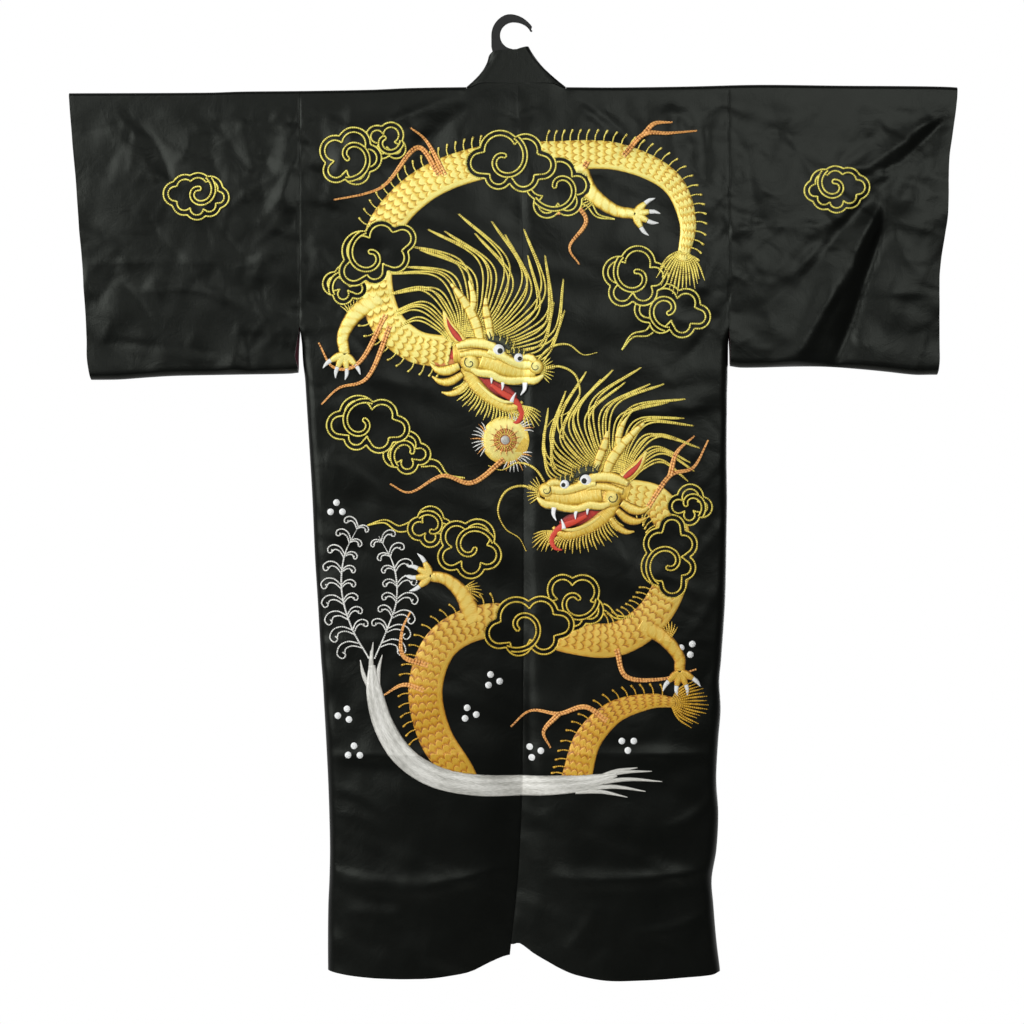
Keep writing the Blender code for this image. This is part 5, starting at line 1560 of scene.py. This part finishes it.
for finish, shapes in fills.items():
    piece, slot = stitched[finish]
    faces, first = [], 0
    for points, shapeFaces, _, _ in shapes:
        faces += [[i + first for i in face] for face in shapeFaces]
        first += len(points)
    points, _, uv, tone = zip(*shapes)
    made = makeMesh(piece, np.vstack(points), faces, [finishes[finish]], None, np.vstack(uv),
                    {"shade": np.clip(np.concatenate(tone), 0, 1)})
    for face in made.data.polygons:  # a disc's flat underside leaves the shading of its top alone
        if face.loop_total == discSectors:
            face.use_smooth = False
            for corner in face.loop_indices:
                made.data.edges[made.data.loops[corner].edge_index].use_edge_sharp = True
    embroidery.append((made, slot))
print("embroidery made:", {o.name: len(o.data.polygons) for o, _ in embroidery})

# Riding and replacing
for node, piece in cloth.items():
    kind, word = node.rsplit("_", 1)
    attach(piece, "root")
    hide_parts(node)
for piece, slot in embroidery:
    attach(piece, "root")

# Floor, light and camera
studio = {
    "floorZ": -1.95, "floorRadius": 1.1, "floorCorners": 96,
    "camera": (-0.0022, -3.539, -0.7168), "lens": 85, "sensor": 36,
    "softboxes": {  # place, what it points at, width and height, watts
        "leftSoftbox": ((-3.0, -2.8, 0.7), (0, 0, -0.6), (3.6, 3.0), 186),
        "frontSoftbox": ((1.0, -3.3, 0.55), (0.2, 0, -0.3), (1.8, 1.1), 31),
        "rearSoftbox": ((2.4, 3.0, -0.3), (0, 0, -0.6), (2.4, 2.0), 80),  # for the robe's hidden front alone
    },
}
corners = studio["floorCorners"]
floorMesh = bpy.data.meshes.new("paleFloor")
floorMesh.from_pydata(
    [(*(studio["floorRadius"] * headingAt(360 * i / corners)), studio["floorZ"]) for i in range(corners)],
    [], [list(range(corners))])
floorMesh.materials.append(newFinish("pale matt paint", "#ecebe8", 0.9)[0])
linkedObject("paleFloor", floorMesh)

for name, (place, target, size, watts) in studio["softboxes"].items():
    lamp = linkedObject(name, bpy.data.lights.new(name, "AREA"))
    lamp.data.shape, lamp.data.size, lamp.data.size_y, lamp.data.energy = "RECTANGLE", *size, watts
    lamp.location = place
    away = np.array(place) - np.array(target)
    tilt = math.atan2(math.hypot(away[0], away[1]), away[2])
    lamp.rotation_euler = (tilt, 0, math.atan2(away[1], away[0]) + math.pi / 2)

world = bpy.data.worlds.new("whiteStudio")
bpy.context.scene.world = world
world.use_nodes = True
worldTree = world.node_tree
worldTree.nodes.clear()
seen = addNode(worldTree, "ShaderNodeBackground", {"Color": (1, 1, 1, 1), "Strength": 1.0})
direction = addNode(worldTree, "ShaderNodeTexCoord").outputs["Generated"]
behind = addNode(worldTree, "ShaderNodeSeparateXYZ", {"Vector": direction}).outputs["Y"]
backdrop = addNode(worldTree, "ShaderNodeMapRange", {
    "Value": behind, "From Min": -0.1, "From Max": 0.35, "To Min": 0.12, "To Max": 0.75})
bounced = addNode(worldTree, "ShaderNodeBackground", {
    "Color": (1, 1, 1, 1), "Strength": backdrop.outputs["Result"]})
ray = addNode(worldTree, "ShaderNodeLightPath")
mixed = addNode(worldTree, "ShaderNodeMixShader", {
    0: ray.outputs["Is Camera Ray"], 1: bounced.outputs[0], 2: seen.outputs[0]})
addNode(worldTree, "ShaderNodeOutputWorld", {"Surface": mixed.outputs[0]})
bpy.context.scene.view_settings.view_transform = "Standard"

camera = linkedObject("photoCamera", bpy.data.cameras.new("photoCamera"))
camera.data.lens, camera.data.sensor_width = studio["lens"], studio["sensor"]
camera.location = studio["camera"]
camera.rotation_euler = (math.pi / 2, 0, 0)
bpy.context.scene.camera = camera
print("stage set")
